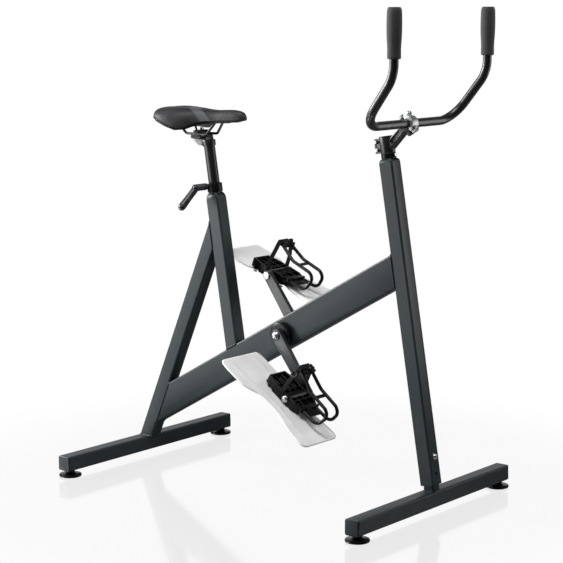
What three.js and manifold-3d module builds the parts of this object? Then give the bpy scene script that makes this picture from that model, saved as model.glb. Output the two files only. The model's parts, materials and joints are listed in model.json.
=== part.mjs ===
// Pedalling frame that stands on the floor of a pool and is ridden in the water.
// Millimetres. +X points to the handlebar, +Y to the rider's left, +Z up.
// The origin is on the floor, under the middle of the whole bike.
import * as THREE from "three";
import { mergeVertices } from "three/addons/utils/BufferGeometryUtils.js";
import Module from "manifold-3d";

const wasm = await Module();
wasm.setup();

// Clearances and facet counts that every group uses
const touchGap = 0.3;
const overrun = 6;
const roundSides = 20;
const smallSides = 12;
const boltSides = 6;
const wireSides = 8;
const barSides = 16;
const tipSteps = 8;
const arcSteps = 12;
const wireBendSteps = 3;
const barBendSteps = 6;
const cornerSteps = 1;

// Square tube frame
const tubeSide = 40;
const tubeWall = 2;
const tubeCorner = 4;
const beamHeight = 80;
const baseSpan = 957;
const baseLength = 670;
const barLift = 18;
const legFootAhead = 6;
const legLean = THREE.MathUtils.degToRad(22.8);
const beamRootHeight = 120.3;
const beamRise = THREE.MathUtils.degToRad(29.56);
const seatTubeAhead = 328.7;
const seatTubeTopHeight = 742;
const seatLean = THREE.MathUtils.degToRad(9.5);
const postFootAhead = 2;
const postFootGap = 15;
const postTopHeight = 870;
const postLean = THREE.MathUtils.degToRad(9.65);

// Spigot of the front base bar, and the bolt that locks the post on it
const spigotNeckSide = 30;
const spigotSlip = 0.5;
const spigotLength = 110;
const lockBoltHeight = 142;
const spareHoleHeight = 100.5;
const lockBoltSize = 8;
const lockBoltHeadWidth = 13;
const lockBoltHeadDepth = 6;
const lockBoltReach = 24;

// Plugs in the open ends of the base bars
const capFlange = 4;
const capPlugDepth = 12;
const capCrown = 1.5;

// Levelling feet
const footInset = 24.5;
const footDiameter = 60;
const footPadHeight = 7.5;
const footBossDiameter = 24;
const footStudDiameter = 10;
const footStudReach = 30;

// Crank bearing in the beam
const crankAhead = 500;
const shellDiameter = 40;
const shellWall = 2.6;
const cupFlangeDiameter = 64;
const cupFlangeFace = 35.5;
const cupSleeveDepth = 14;
const cupSleeveWall = 2;
const bearingWidth = 10;
const axleDiameter = 17;

// Crank arms and the nuts that hold them
const crankLength = 172.5;
const crankForwardAngle = THREE.MathUtils.degToRad(37);
const crankInnerFace = 36.5;
const crankThickness = 13;
const crankFlare = 5;
const crankHeadRadius = 16;
const crankTipRadius = 12.5;
const crankSquare = 12.7;
const crankNutRadius = 11;
const crankNutHeight = 8;
const nutThreadShare = 0.6;
const nutShares = [[0, 0], [1, 0], [1, 0.3], [0.82, 0.36], [0.74, 0.62], [0.5, 0.88], [0.22, 0.98], [0, 1]];
const axleThread = 8;

// Pedals
const pedalCentreOut = 101;
const pedalWidth = 78;
const pedalRearReach = 78;
const pedalFrontReach = 48;
const pedalTop = 12;
const pedalBottom = 14;
const pedalDeck = 7;
const pedalSideWall = 7;
const pedalBarrel = 26;
const pedalCornerCut = 16;
const pedalRibWidth = 8;
const pedalBossDiameter = 18;
const rightPedalPitch = THREE.MathUtils.degToRad(35);
const leftPedalPitch = THREE.MathUtils.degToRad(21);
const spindleDiameter = 12;
const spindleThread = 14.3;
const spindleShoulder = 20;
const spindleHeadHeight = 3.5;
const pedalCapDiameter = 19;
const pedalCapHeight = 7;
const pedalCapShares = [[0, 0], [1, 0], [1, 0.35], [0.86, 0.66], [0.55, 0.9], [0.25, 0.99], [0, 1]];
const pedalSlotSpreadShare = 0.62;

// Toe clips and straps
const clipFootHalfWidth = 27;
const clipNoseHalfWidth = 22;
const clipTopHalfWidth = 17;
const clipWireRadius = 4.5;
const clipBendShares = [5, 4, 3, 8];
const clipFootReach = 108;
const clipNoseReach = 119;
const clipNoseHeight = 44;
const clipToeReach = 101;
const clipToeHeight = 54;
const clipArchReach = 41;
const clipArchHeight = 58;
const clipTopHeight = 81;
const clipTopSetback = 10;
const clipTopLength = 24;
const clipTopThickness = 8;
const clipFootThickness = 7;
const clipPlateReach = 30;
const clipPlateThickness = 4;
const clipBridgeLength = 10;
const clipBridgeThickness = 4.2;
const strapWidth = 12;
const strapSetback = 16.5;
const strapThickness = 2.6;
const strapFootDrop = 8;
const strapShoulderGap = 2;
const strapKneeRise = 26;
const buckleLength = 18;
const buckleHeight = 18;
const buckleThickness = 4;
const buckleHeightShare = 0.6;

// Paddles under the pedals
const paddleLength = 328;
const paddleHalfWidth = 77;
const paddleThickness = 5;
const paddleDrop = 17;
const paddleRearReach = 180;
const paddleClearOfCrank = 4.5;
const paddleLift = 1;

// Seat post, its collar and its lever
const seatPostDiameter = 30;
const seatPostWall = 2.2;
const seatPostInsert = 150;
const seatPostShown = 151;
const sleevePlugDepth = 55;
const taperShares = [[0, 0], [0.12, 0.35], [0.5, 0.72], [1, 1]];
const seatTaperHeight = 17;
const seatNeckDiameter = 34.6;
const seatCollarDiameter = 41;
const seatCollarHeight = 24;
const leverTurnAside = THREE.MathUtils.degToRad(30);
const leverHeightShare = 0.72;
const leverStudDiameter = 8;
const leverHubDiameter = 15;
const leverHubEnd = 60;
const leverWasher = 5;
const leverArmReach = 52;
const leverArmDrop = 51;
const leverArmRadius = 7.5;
const leverTipRadius = 8.5;
const leverRoundShares = [0.8, 0.35];
const leverStationShares = [0, 0.12, 0.5, 0.86, 0.96, 1];

// Clamp between the seat post and the saddle rails
const tiltRadius = 70;
const cradleSetback = 24.6;
const cradleLength = 36;
const cradleWidth = 52;
const cradleLowerThickness = 14;
const cradleUpperLength = 26;
const cradleUpperThickness = 6;
const headLength = 44;
const headPlate = 4;
const headCover = 6;
const headDrop = 17;
const headWidth = 30;
const headSocketWall = 3;
const headSocketDepth = 12;
const headRearSetback = 40.6;
const headFrontShare = 0.74;
const headStepShare = 0.66;
const headRearShare = 0.42;
const cradleCheekShare = 0.7;
const clampBoltSize = 6;
const clampBoltHead = 11;
const noseDownTilt = THREE.MathUtils.degToRad(8);
const noseUpTilt = THREE.MathUtils.degToRad(4);
const clampBoltDrop = 14;

// Saddle
const saddleSetback = 152.6;
const saddleLength = 281;
const saddleHalfWidth = 75;
const saddleRise = 71;
const saddleDepth = 64;
const railHalfSpacing = 22;
const railDiameter = 7;
const railRearRun = 12;
const railRearBelowTop = 52.8;
const railRearSpread = 1.25;
const railStraight = 72;
const railStraightSetback = 36;
const railFrontRun = 25;
const railFrontBelowTop = 39.5;
const railFrontDraw = 0.72;
const railBendRadius = 11;
const railSocketGap = 0.33;
const railSocketEndShare = 6;
const shellThickness = 4;
const shellSeatGap = 0.36;
const channelDepth = 6;

// Handlebar stem on its column
const columnDiameter = 28.6;
const columnInsert = 110;
const topCollarDiameter = 37;
const topCollarTaper = 9;
const topCollarHeight = 23;
const collarBoltSize = 5;
const collarBoltHead = 9;
const collarBoltHeadDepth = 3.5;
const stemClampDiameter = 37;
const stemClampHeight = 38;
const stemArmRise = THREE.MathUtils.degToRad(47);
const stemArmLength = 90.8;
const stemFaceRise = THREE.MathUtils.degToRad(32);
const stemArmWidth = 24;
const stemArmDepth = 23;
const stemRootOffset = 8;
const stemReliefDepth = 4;
const stemReliefLength = 40;
const stemEarReach = 30;
const stemEarWidth = 24;
const stemSlit = 2.4;
const pinchBoltSize = 5;
const pinchBoltHead = 9;
const pinchBoltSpacing = 20.5;
const columnCapHeight = 3;
const barClampDiameter = 41;
const barClampWidth = 24;
const faceBoltOffset = 20.5;
const faceBossDiameter = 13;
const faceBossHeight = 15;

// Handlebar and grips
const barDiameter = 22.2;
const barCornerOut = 190;
const barCornerRadius = 62;
const hornReach = 95;
const hornRise = 122;
const hornOut = 11;
const hornBendRadius = 90;
const barTopRise = 277;
const gripLength = 119;
const gripDiameter = 36.5;
const gripBore = 0.4;
const gripEndWall = 5;
const gripShares = [
  [0, 0.86], [0.05, 0.9], [0.25, 0.9], [0.42, 0.97], [0.62, 1], [0.85, 0.98], [0.95, 0.93], [1, 0.8],
];

// Places that follow from the sizes
const barTop = barLift + tubeSide;
const cutterSize = 4 * baseSpan;
const rise = (angle) => new THREE.Vector3(Math.cos(angle), 0, Math.sin(angle));
const lean = (angle) => new THREE.Vector3(Math.sin(angle), 0, Math.cos(angle));
const legAxis = lean(legLean);
const postAxis = lean(-postLean);
const seatAxis = lean(-seatLean);
const beamAxis = rise(beamRise);
const legFoot = new THREE.Vector3(legFootAhead, 0, barTop);
const postFoot = new THREE.Vector3(baseSpan + postFootAhead, 0, barTop);
const beamRoot = new THREE.Vector3(0, 0, beamRootHeight);
const alongTo = (origin, axis, distance) => origin.clone().addScaledVector(axis, distance);
const atAhead = (origin, axis, ahead) => alongTo(origin, axis, (ahead - origin.x) / axis.x);
const atHeight = (origin, axis, height) => alongTo(origin, axis, (height - origin.z) / axis.z);
const seatTubeRoot = atAhead(beamRoot, beamAxis, seatTubeAhead);
const crankCentre = atAhead(beamRoot, beamAxis, crankAhead);
const seatTubeTop = atHeight(seatTubeRoot, seatAxis, seatTubeTopHeight);
const seatPostEnd = atHeight(seatTubeTop, seatAxis, seatTubeTopHeight + seatPostShown);
const headRearAhead = seatPostEnd.x - headRearSetback;
const cradleSeatHeight = seatPostEnd.z + headCover;
const railHeight = cradleSeatHeight + cradleLowerThickness;
const tiltCentre = new THREE.Vector3(seatPostEnd.x - cradleSetback, 0, cradleSeatHeight + tiltRadius);
const saddleRearAhead = seatPostEnd.x - saddleSetback;
const saddleTopHeight = railHeight + saddleRise;
const postTop = atHeight(postFoot, postAxis, postTopHeight);
const stemArmAxis = rise(stemArmRise);
const stemFaceAxis = rise(stemFaceRise);
const stemClampBase = topCollarHeight + touchGap;
const stemRoot = alongTo(postTop, postAxis, stemClampBase + stemRootOffset);
const barCentre = alongTo(stemRoot, stemArmAxis, stemArmLength);
const gripAhead = barCentre.x + hornReach;
const frontReach = gripAhead + gripDiameter / 2;
const rearReach = -footDiameter / 2;
const middleAhead = (frontReach + rearReach) / 2;

// Materials
const powderCoat = { color: 0x454e50, roughness: 0.55, metalness: 0.2 };
const blackPlastic = { color: 0x17181a, roughness: 0.6, metalness: 0 };
const blackGloss = { color: 0x1c1d20, roughness: 0.25, metalness: 0.3 };
const crankGrey = { color: 0x666668, roughness: 0.45, metalness: 0.5 };
const chrome = { color: 0xd8dadd, roughness: 0.12, metalness: 1 };
const steel = { color: 0x9a9da0, roughness: 0.35, metalness: 0.9 };
const paddleMilk = { color: 0xe6e9e8, roughness: 0.4, metalness: 0 };
const gripRubber = { color: 0x2b2c2f, roughness: 0.85, metalness: 0 };
const saddleCover = { color: 0x333438, roughness: 0.7, metalness: 0 };
const webbing = { color: 0x202123, roughness: 0.9, metalness: 0 };

const bike = new THREE.Group();
bike.position.x = -middleAhead;

// Booleans need shared corners, faces that point out and no slivers of zero area.
function solidOf(geometry) {
  const bare = geometry.clone();
  bare.deleteAttribute("normal");
  bare.deleteAttribute("uv");
  const merged = mergeVertices(bare);
  const places = merged.attributes.position.array;
  const corners = merged.index.array;
  const kept = [];
  let volume = 0;
  const a = new THREE.Vector3();
  const b = new THREE.Vector3();
  const c = new THREE.Vector3();
  for (let i = 0; i < corners.length; i += 3) {
    const [p, q, r] = [corners[i], corners[i + 1], corners[i + 2]];
    if (p === q || q === r || r === p) continue;
    a.fromArray(places, p * 3);
    b.fromArray(places, q * 3);
    c.fromArray(places, r * 3);
    volume += a.dot(b.cross(c));
    kept.push(p, q, r);
  }
  if (volume < 0) kept.reverse();
  const mesh = new wasm.Mesh({
    numProp: 3,
    vertProperties: new Float32Array(places),
    triVerts: new Uint32Array(kept),
  });
  return new wasm.Manifold(mesh);
}

function geometryOf(solid) {
  const mesh = solid.getMesh();
  const geometry = new THREE.BufferGeometry();
  geometry.setAttribute("position", new THREE.BufferAttribute(new Float32Array(mesh.vertProperties), 3));
  geometry.setIndex(new THREE.BufferAttribute(new Uint32Array(mesh.triVerts), 1));
  geometry.computeVertexNormals();
  return geometry;
}

function addPiece(name, solid, finish, parent = bike) {
  const mesh = new THREE.Mesh(geometryOf(solid), new THREE.MeshStandardMaterial(finish));
  mesh.name = name;
  parent.add(mesh);
  return mesh;
}

// Local +Z runs along the axis, local +Y stays the bike's +Y.
function frameAlong(origin, axis) {
  const across = new THREE.Vector3(0, 1, 0);
  const side = new THREE.Vector3().crossVectors(across, axis).normalize();
  return new THREE.Matrix4().makeBasis(side, across, axis.clone().normalize()).setPosition(origin);
}

function groupAlong(origin, axis, parent = bike) {
  const group = new THREE.Group();
  group.applyMatrix4(frameAlong(origin, axis));
  parent.add(group);
  return group;
}

function polygon(radius, sides) {
  const points = [];
  for (let i = 0; i < sides; i += 1) {
    const angle = (2 * Math.PI * (i + 0.5)) / sides;
    points.push(new THREE.Vector2(radius * Math.cos(angle), radius * Math.sin(angle)));
  }
  return points;
}

function outlineOf(points) {
  return new THREE.Shape(points);
}

function roundedBox(width, depth, radius) {
  const x = width / 2 - radius;
  const y = depth / 2 - radius;
  const shape = new THREE.Shape();
  shape.absarc(x, y, radius, 0, Math.PI / 2);
  shape.absarc(-x, y, radius, Math.PI / 2, Math.PI);
  shape.absarc(-x, -y, radius, Math.PI, 1.5 * Math.PI);
  shape.absarc(x, -y, radius, 1.5 * Math.PI, 2 * Math.PI);
  return shape;
}

function prism(shape, low, high) {
  const settings = { depth: high - low, bevelEnabled: false, curveSegments: cornerSteps };
  return solidOf(new THREE.ExtrudeGeometry(shape, settings).translate(0, 0, low));
}

function rod(diameter, low, high, sides = roundSides) {
  return prism(outlineOf(polygon(diameter / 2, sides)), low, high);
}

// The flats of a many-sided bore keep the gap, so its corners lie a little further out.
function bore(diameter, low, high, gap = touchGap, sides = roundSides) {
  const radius = (diameter / 2 + gap) / Math.cos(Math.PI / sides);
  return prism(outlineOf(polygon(radius, sides)), low, high);
}

function block(low, high) {
  const size = high.clone().sub(low);
  const middle = high.clone().add(low).multiplyScalar(0.5);
  const box = new THREE.BoxGeometry(size.x, size.y, size.z);
  return solidOf(box.translate(middle.x, middle.y, middle.z));
}

const at = (x, y, z) => new THREE.Vector3(x, y, z);

function placed(solid, matrix) {
  return solidOf(geometryOf(solid).applyMatrix4(matrix));
}

const shifted = (solid, x, y, z) => placed(solid, new THREE.Matrix4().makeTranslation(x, y, z));
const alongY = (solid) => placed(solid, new THREE.Matrix4().makeRotationX(-Math.PI / 2));
const alongX = (solid) => placed(solid, new THREE.Matrix4().makeRotationY(Math.PI / 2));
const mirrored = (solid, side) => placed(solid, new THREE.Matrix4().makeScale(1, side, 1));

// Everything on the normal's side of the plane is cut away.
function trimmed(solid, point, normal) {
  const cutter = new THREE.BoxGeometry(cutterSize, cutterSize, cutterSize);
  cutter.translate(0, 0, cutterSize / 2);
  const turn = new THREE.Quaternion().setFromUnitVectors(at(0, 0, 1), normal.clone().normalize());
  cutter.applyQuaternion(turn).translate(point.x, point.y, point.z);
  return solid.subtract(solidOf(cutter));
}

// A solid skinned over rings of equally many points, closed at both ends.
function lofted(rings) {
  const count = rings[0].length;
  const places = rings.flat().flatMap((point) => point.toArray());
  const corners = [];
  for (let r = 0; r + 1 < rings.length; r += 1) {
    for (let i = 0; i < count; i += 1) {
      const a = r * count + i;
      const b = r * count + ((i + 1) % count);
      corners.push(a, b, b + count, a, b + count, a + count);
    }
  }
  for (const [ring, flip] of [[0, true], [rings.length - 1, false]]) {
    const middle = rings[ring].reduce((sum, point) => sum.add(point), at(0, 0, 0));
    middle.divideScalar(count);
    const hub = places.length / 3;
    places.push(...middle.toArray());
    for (let i = 0; i < count; i += 1) {
      const a = ring * count + i;
      const b = ring * count + ((i + 1) % count);
      corners.push(hub, flip ? b : a, flip ? a : b);
    }
  }
  const geometry = new THREE.BufferGeometry();
  geometry.setAttribute("position", new THREE.Float32BufferAttribute(places, 3));
  geometry.setIndex(corners);
  return solidOf(geometry);
}

// A path of straights and rounded corners, with stations only where it bends.
class BentPath extends THREE.Curve {
  constructor(stations) {
    super();
    this.stations = stations;
  }

  getPointAt(share) {
    const last = this.stations.length - 1;
    const place = Math.min(share * last, last);
    const index = Math.min(Math.floor(place + 1e-6), last - 1);
    return this.stations[index].clone().lerp(this.stations[index + 1], place - index);
  }

  getTangentAt(share) {
    const last = this.stations.length - 1;
    const index = Math.round(share * last);
    const before = this.stations[Math.max(index - 1, 0)];
    const here = this.stations[index];
    const after = this.stations[Math.min(index + 1, last)];
    const arriving = here.clone().sub(before).normalize();
    const leaving = after.clone().sub(here).normalize();
    return arriving.add(leaving).normalize();
  }
}

function bentStations(corners, radii, steps) {
  const stations = [corners[0].clone()];
  radii.forEach((radius, i) => {
    const corner = corners[i + 1];
    const back = corners[i].clone().sub(corner).normalize();
    const on = corners[i + 2].clone().sub(corner).normalize();
    const half = back.angleTo(on) / 2;
    const start = corner.clone().addScaledVector(back, radius / Math.tan(half));
    const inward = back.clone().add(on).normalize();
    const centre = corner.clone().addScaledVector(inward, radius / Math.sin(half));
    const spoke = start.clone().sub(centre);
    for (let k = 0; k <= steps; k += 1) {
      const angle = ((Math.PI - 2 * half) * k) / steps;
      const point = centre.clone().addScaledVector(spoke, Math.cos(angle));
      stations.push(point.addScaledVector(back, -radius * Math.sin(angle)));
    }
  });
  stations.push(corners[corners.length - 1].clone());
  return stations;
}

function bentRod(corners, radii, radius, sides, steps) {
  const stations = bentStations(corners, radii, steps);
  const settings = { steps: stations.length - 1, extrudePath: new BentPath(stations) };
  const section = outlineOf(polygon(radius, sides));
  return solidOf(new THREE.ExtrudeGeometry(section, { ...settings, bevelEnabled: false }));
}

// Square tube: local x is the face that looks forward or down, local y is across the bike.
function squareTube(height, width, low, high) {
  const outer = roundedBox(height, width, tubeCorner);
  const inner = roundedBox(height - 2 * tubeWall, width - 2 * tubeWall, tubeCorner - tubeWall);
  outer.holes.push(inner);
  return prism(outer, low, high);
}

function squarePlug(side, low, high) {
  return prism(roundedBox(side, side, tubeCorner - tubeWall), low, high);
}

// Ring of points on a rounded square that turns into a circle as the share goes to one.
function squareToRound(side, diameter, share, height) {
  const points = roundedBox(side, side, tubeCorner).getPoints(cornerSteps);
  const ring = [];
  for (const point of points.slice(0, -1)) {
    const round = point.clone().setLength(diameter / 2);
    point.lerp(round, share);
    ring.push(at(point.x, point.y, height));
  }
  return ring;
}

// Base bars, their spigot and end caps
function baseBar() {
  const half = baseLength / 2 - capFlange - touchGap;
  let bar = alongY(squareTube(tubeSide, tubeSide, -half, half));
  bar = shifted(bar, 0, 0, barLift + tubeSide / 2);
  for (const side of [-1, 1]) {
    const top = barLift + tubeWall + overrun;
    const hole = bore(footStudDiameter, barLift - overrun, top, touchGap, smallSides);
    bar = bar.subtract(shifted(hole, 0, side * (baseLength / 2 - footInset), 0));
  }
  return bar;
}

function lockBoltHole(height) {
  const centre = atHeight(postFoot, postAxis, height);
  const drill = alongX(bore(lockBoltSize, 0, tubeSide / 2 + overrun, touchGap, smallSides));
  return placed(drill, frameAlong(centre, postAxis));
}

function makeBaseBars() {
  addPiece("rear_base_bar", baseBar(), powderCoat);

  const spigotSide = tubeSide - 2 * tubeWall - 2 * spigotSlip;
  const neck = squareTube(spigotNeckSide, spigotNeckSide, -tubeWall / 2, spigotLength);
  const sleeve = squareTube(spigotSide, spigotSide, postFootGap + tubeWall, spigotLength);
  const filler = prism(roundedBox(spigotSide - tubeWall, spigotSide - tubeWall, tubeWall),
    postFootGap + tubeWall, postFootGap + 2 * tubeWall);
  const neckBore = prism(roundedBox(spigotNeckSide - 2 * tubeWall, spigotNeckSide - 2 * tubeWall, tubeWall),
    0, spigotLength + overrun);
  let spigot = placed(neck.add(sleeve).add(filler).subtract(neckBore), frameAlong(postFoot, postAxis));
  spigot = trimmed(spigot, at(0, 0, barTop - tubeWall / 2), at(0, 0, -1));
  let bar = shifted(baseBar(), baseSpan, 0, 0).add(spigot);
  bar = bar.subtract(lockBoltHole(lockBoltHeight)).subtract(lockBoltHole(spareHoleHeight));
  addPiece("front_base_bar", bar, powderCoat);

  for (const [end, ahead] of [["rear", 0], ["front", baseSpan]]) {
    for (const [hand, side] of [["right", -1], ["left", 1]]) {
      addPiece(`end_cap_${end}_${hand}`, endCap(ahead, side), blackPlastic);
    }
  }
}

function endCap(ahead, side) {
  const face = baseLength / 2;
  const plugSide = tubeSide - 2 * tubeWall - 2 * touchGap;
  const crownShare = 1 - capCrown / tubeSide;
  const rim = roundedBox(tubeSide, tubeSide, tubeCorner).getPoints(cornerSteps).slice(0, -1);
  const ring = (share, height) => rim.map((point) => at(point.x * share, point.y * share, height));
  const flange = lofted([ring(1, face - capFlange), ring(1, face - capCrown), ring(crownShare ** 2, face)]);
  const plug = squarePlug(plugSide, face - capFlange - capPlugDepth, face - capFlange + tubeWall);
  const cap = mirrored(alongY(flange.add(plug)), side);
  return shifted(cap, ahead, 0, barLift + tubeSide / 2);
}

// Legs, beam and posts of the frame
function makeFrame() {
  const halfSide = tubeSide / 2;
  const seatSide = frameAlong(seatTubeRoot, seatAxis);
  const seatForward = new THREE.Vector3().setFromMatrixColumn(seatSide, 0);
  const postForward = new THREE.Vector3().setFromMatrixColumn(frameAlong(postFoot, postAxis), 0);
  const legForward = new THREE.Vector3().setFromMatrixColumn(frameAlong(legFoot, legAxis), 0);
  const beamUnder = new THREE.Vector3().setFromMatrixColumn(frameAlong(beamRoot, beamAxis), 0);

  const legReach = seatTubeTop.distanceTo(legFoot);
  let leg = placed(squareTube(tubeSide, tubeSide, -tubeSide, legReach), frameAlong(legFoot, legAxis));
  leg = trimmed(leg, at(0, 0, barTop + touchGap), at(0, 0, -1));
  leg = trimmed(leg, alongTo(seatTubeRoot, seatForward, -halfSide - touchGap), seatForward);
  addPiece("rear_leg", leg, powderCoat);

  const beamReach = baseSpan / Math.cos(beamRise);
  let beam = placed(squareTube(beamHeight, tubeSide, -tubeSide, beamReach), frameAlong(beamRoot, beamAxis));
  beam = trimmed(beam, alongTo(legFoot, legForward, halfSide + touchGap), legForward.clone().negate());
  beam = trimmed(beam, alongTo(postFoot, postForward, -halfSide - touchGap), postForward);
  // the crank shell is welded through the beam
  const shell = alongY(rod(shellDiameter, -halfSide, halfSide));
  const shellBore = alongY(rod(shellDiameter - 2 * shellWall, -tubeSide, tubeSide));
  beam = beam.add(shifted(shell, crankCentre.x, 0, crankCentre.z));
  beam = beam.subtract(shifted(shellBore, crankCentre.x, 0, crankCentre.z));
  addPiece("main_beam", beam, powderCoat);

  const seatReach = seatTubeTop.distanceTo(seatTubeRoot);
  let seatTube = placed(squareTube(tubeSide, tubeSide, 0, seatReach), seatSide);
  seatTube = trimmed(seatTube, alongTo(beamRoot, beamUnder, -beamHeight / 2 - touchGap), beamUnder);
  addPiece("seat_tube", seatTube, powderCoat);

  const postReach = postTop.distanceTo(postFoot);
  let post = placed(squareTube(tubeSide, tubeSide, postFootGap, postReach), frameAlong(postFoot, postAxis));
  post = post.subtract(lockBoltHole(lockBoltHeight)).subtract(lockBoltHole(spareHoleHeight));
  addPiece("front_post", post, powderCoat);

  const face = tubeSide / 2 + touchGap;
  const shank = rod(lockBoltSize, face - lockBoltReach, face + touchGap, smallSides);
  const head = rod(lockBoltHeadWidth, face, face + lockBoltHeadDepth, boltSides);
  const boltPlace = frameAlong(atHeight(postFoot, postAxis, lockBoltHeight), postAxis);
  addPiece("post_lock_bolt", placed(alongX(shank.add(head)), boltPlace), chrome);
}

// Tapered tops of the two square tubes
function taperedSleeve(neckDiameter, taper, neckTop, passing) {
  const plugSide = tubeSide - 2 * tubeWall - 2 * touchGap;
  const skirt = lofted(taperShares.map(([roundness, height]) => {
    const lift = touchGap + height * (taper - touchGap);
    return squareToRound(tubeSide, neckDiameter, roundness, lift);
  }));
  const plug = squarePlug(plugSide, -sleevePlugDepth, taper / 2);
  const neck = rod(neckDiameter, taper - touchGap, neckTop);
  return skirt.add(plug).add(neck).subtract(bore(passing, -sleevePlugDepth - overrun, neckTop + overrun));
}

function makeSleeves(seatTop, steeringTop) {
  const seatSleeve = taperedSleeve(seatNeckDiameter, seatTaperHeight,
    seatTaperHeight + seatCollarHeight, seatPostDiameter);
  addPiece("seat_tube_sleeve", seatSleeve.subtract(leverStudHole()), powderCoat, seatTop);
  const collarOuter = rod(seatCollarDiameter, seatTaperHeight + touchGap,
    seatTaperHeight + seatCollarHeight);
  const collarInner = bore(seatNeckDiameter, 0, seatTaperHeight + seatCollarHeight + overrun);
  addPiece("seat_clamp_collar", collarOuter.subtract(collarInner).subtract(leverStudHole()),
    blackPlastic, seatTop);

  const postSleeve = taperedSleeve(topCollarDiameter, topCollarTaper, topCollarHeight, columnDiameter);
  const boltHeight = (topCollarTaper + topCollarHeight) / 2;
  const hole = alongX(bore(collarBoltSize, 0, topCollarDiameter, touchGap, smallSides));
  addPiece("post_top_sleeve", postSleeve.subtract(shifted(hole, 0, 0, boltHeight)), powderCoat, steeringTop);
  const outside = topCollarDiameter / 2 + touchGap;
  const shank = rod(collarBoltSize, columnDiameter / 2 + touchGap, outside + touchGap, smallSides);
  const head = rod(collarBoltHead, outside, outside + collarBoltHeadDepth, smallSides);
  const bolt = alongX(shank.add(head));
  addPiece("post_collar_bolt", shifted(bolt, 0, 0, boltHeight), chrome, steeringTop);
}

// Feet that screw into the base bars
function makeFeet() {
  const radius = footDiameter / 2;
  const boss = footBossDiameter / 2;
  const stud = footStudDiameter / 2;
  const shoulder = barLift - touchGap;
  const profile = [
    [0, 0], [radius - footPadHeight / 6, 0], [radius, footPadHeight / 4], [radius, footPadHeight * 0.75],
    [radius - footPadHeight / 4, footPadHeight], [boss + footPadHeight / 6, footPadHeight],
    [boss, footPadHeight * 1.2], [boss, shoulder], [stud, shoulder],
    [stud, shoulder + footStudReach], [0, shoulder + footStudReach],
  ].map(([x, y]) => new THREE.Vector2(x, y));
  for (const [end, ahead] of [["rear", 0], ["front", baseSpan]]) {
    for (const [hand, side] of [["right", -1], ["left", 1]]) {
      const turned = new THREE.LatheGeometry(profile, smallSides).rotateX(Math.PI / 2);
      const foot = addPiece(`foot_${end}_${hand}`, solidOf(turned), blackPlastic);
      foot.position.set(ahead, side * (baseLength / 2 - footInset), 0);
    }
  }
}

// Crank bearing: a cup with a ball bearing in each end of the shell
function makeCrankBearing(centre) {
  const half = tubeSide / 2;
  const sleeveOuter = shellDiameter - 2 * shellWall - 2 * touchGap;
  const bearingOuter = sleeveOuter - 2 * cupSleeveWall - 2 * touchGap;
  const axleGap = (bearingOuter - axleDiameter) / 4;
  for (const [hand, side] of [["right", -1], ["left", 1]]) {
    const flange = rod(cupFlangeDiameter, half + touchGap, cupFlangeFace);
    const sleeve = rod(sleeveOuter, half - cupSleeveDepth, half + overrun / 2);
    let cup = flange.add(sleeve);
    cup = cup.subtract(bore(bearingOuter, -overrun, half));
    cup = cup.subtract(bore(axleDiameter + axleGap, 0, cupFlangeFace + overrun));
    addPiece(`crank_cup_${hand}`, mirrored(alongY(cup), side), blackPlastic, centre);

    const inner = half - touchGap - bearingWidth;
    const race = rod(bearingOuter, inner, inner + bearingWidth);
    const bearing = race.subtract(bore(axleDiameter, 0, cupFlangeFace));
    addPiece(`crank_bearing_${hand}`, mirrored(alongY(bearing), side), steel, centre);
  }
}

// Axle, arms, nuts and pedal spindles turn as one
function crankArm() {
  const outline = new THREE.Shape();
  const drop = crankLength;
  const flare = Math.asin((crankHeadRadius - crankTipRadius) / drop);
  outline.absarc(0, 0, crankHeadRadius, Math.PI + flare, 2 * Math.PI - flare, true);
  outline.absarc(0, -drop, crankTipRadius, -flare, -Math.PI + flare, true);
  const settings = { depth: crankThickness, bevelEnabled: false, curveSegments: tipSteps };
  const arm = new THREE.ExtrudeGeometry(outline, settings);
  let solid = solidOf(arm.translate(0, 0, crankInnerFace));
  const hole = crankSquare + 2 * touchGap;
  const square = at(hole / 2, hole / 2, crankInnerFace + crankThickness + overrun);
  solid = solid.subtract(block(at(-hole / 2, -hole / 2, crankInnerFace - overrun), square));
  const pedalHole = bore(spindleThread, crankInnerFace - overrun, crankInnerFace + crankThickness + overrun);
  solid = solid.subtract(shifted(pedalHole, 0, -drop, 0));
  // the arm leans out a little towards the pedal
  const slope = -crankFlare / drop;
  return placed(solid, new THREE.Matrix4().makeShear(0, 0, 0, slope, 0, 0));
}

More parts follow.
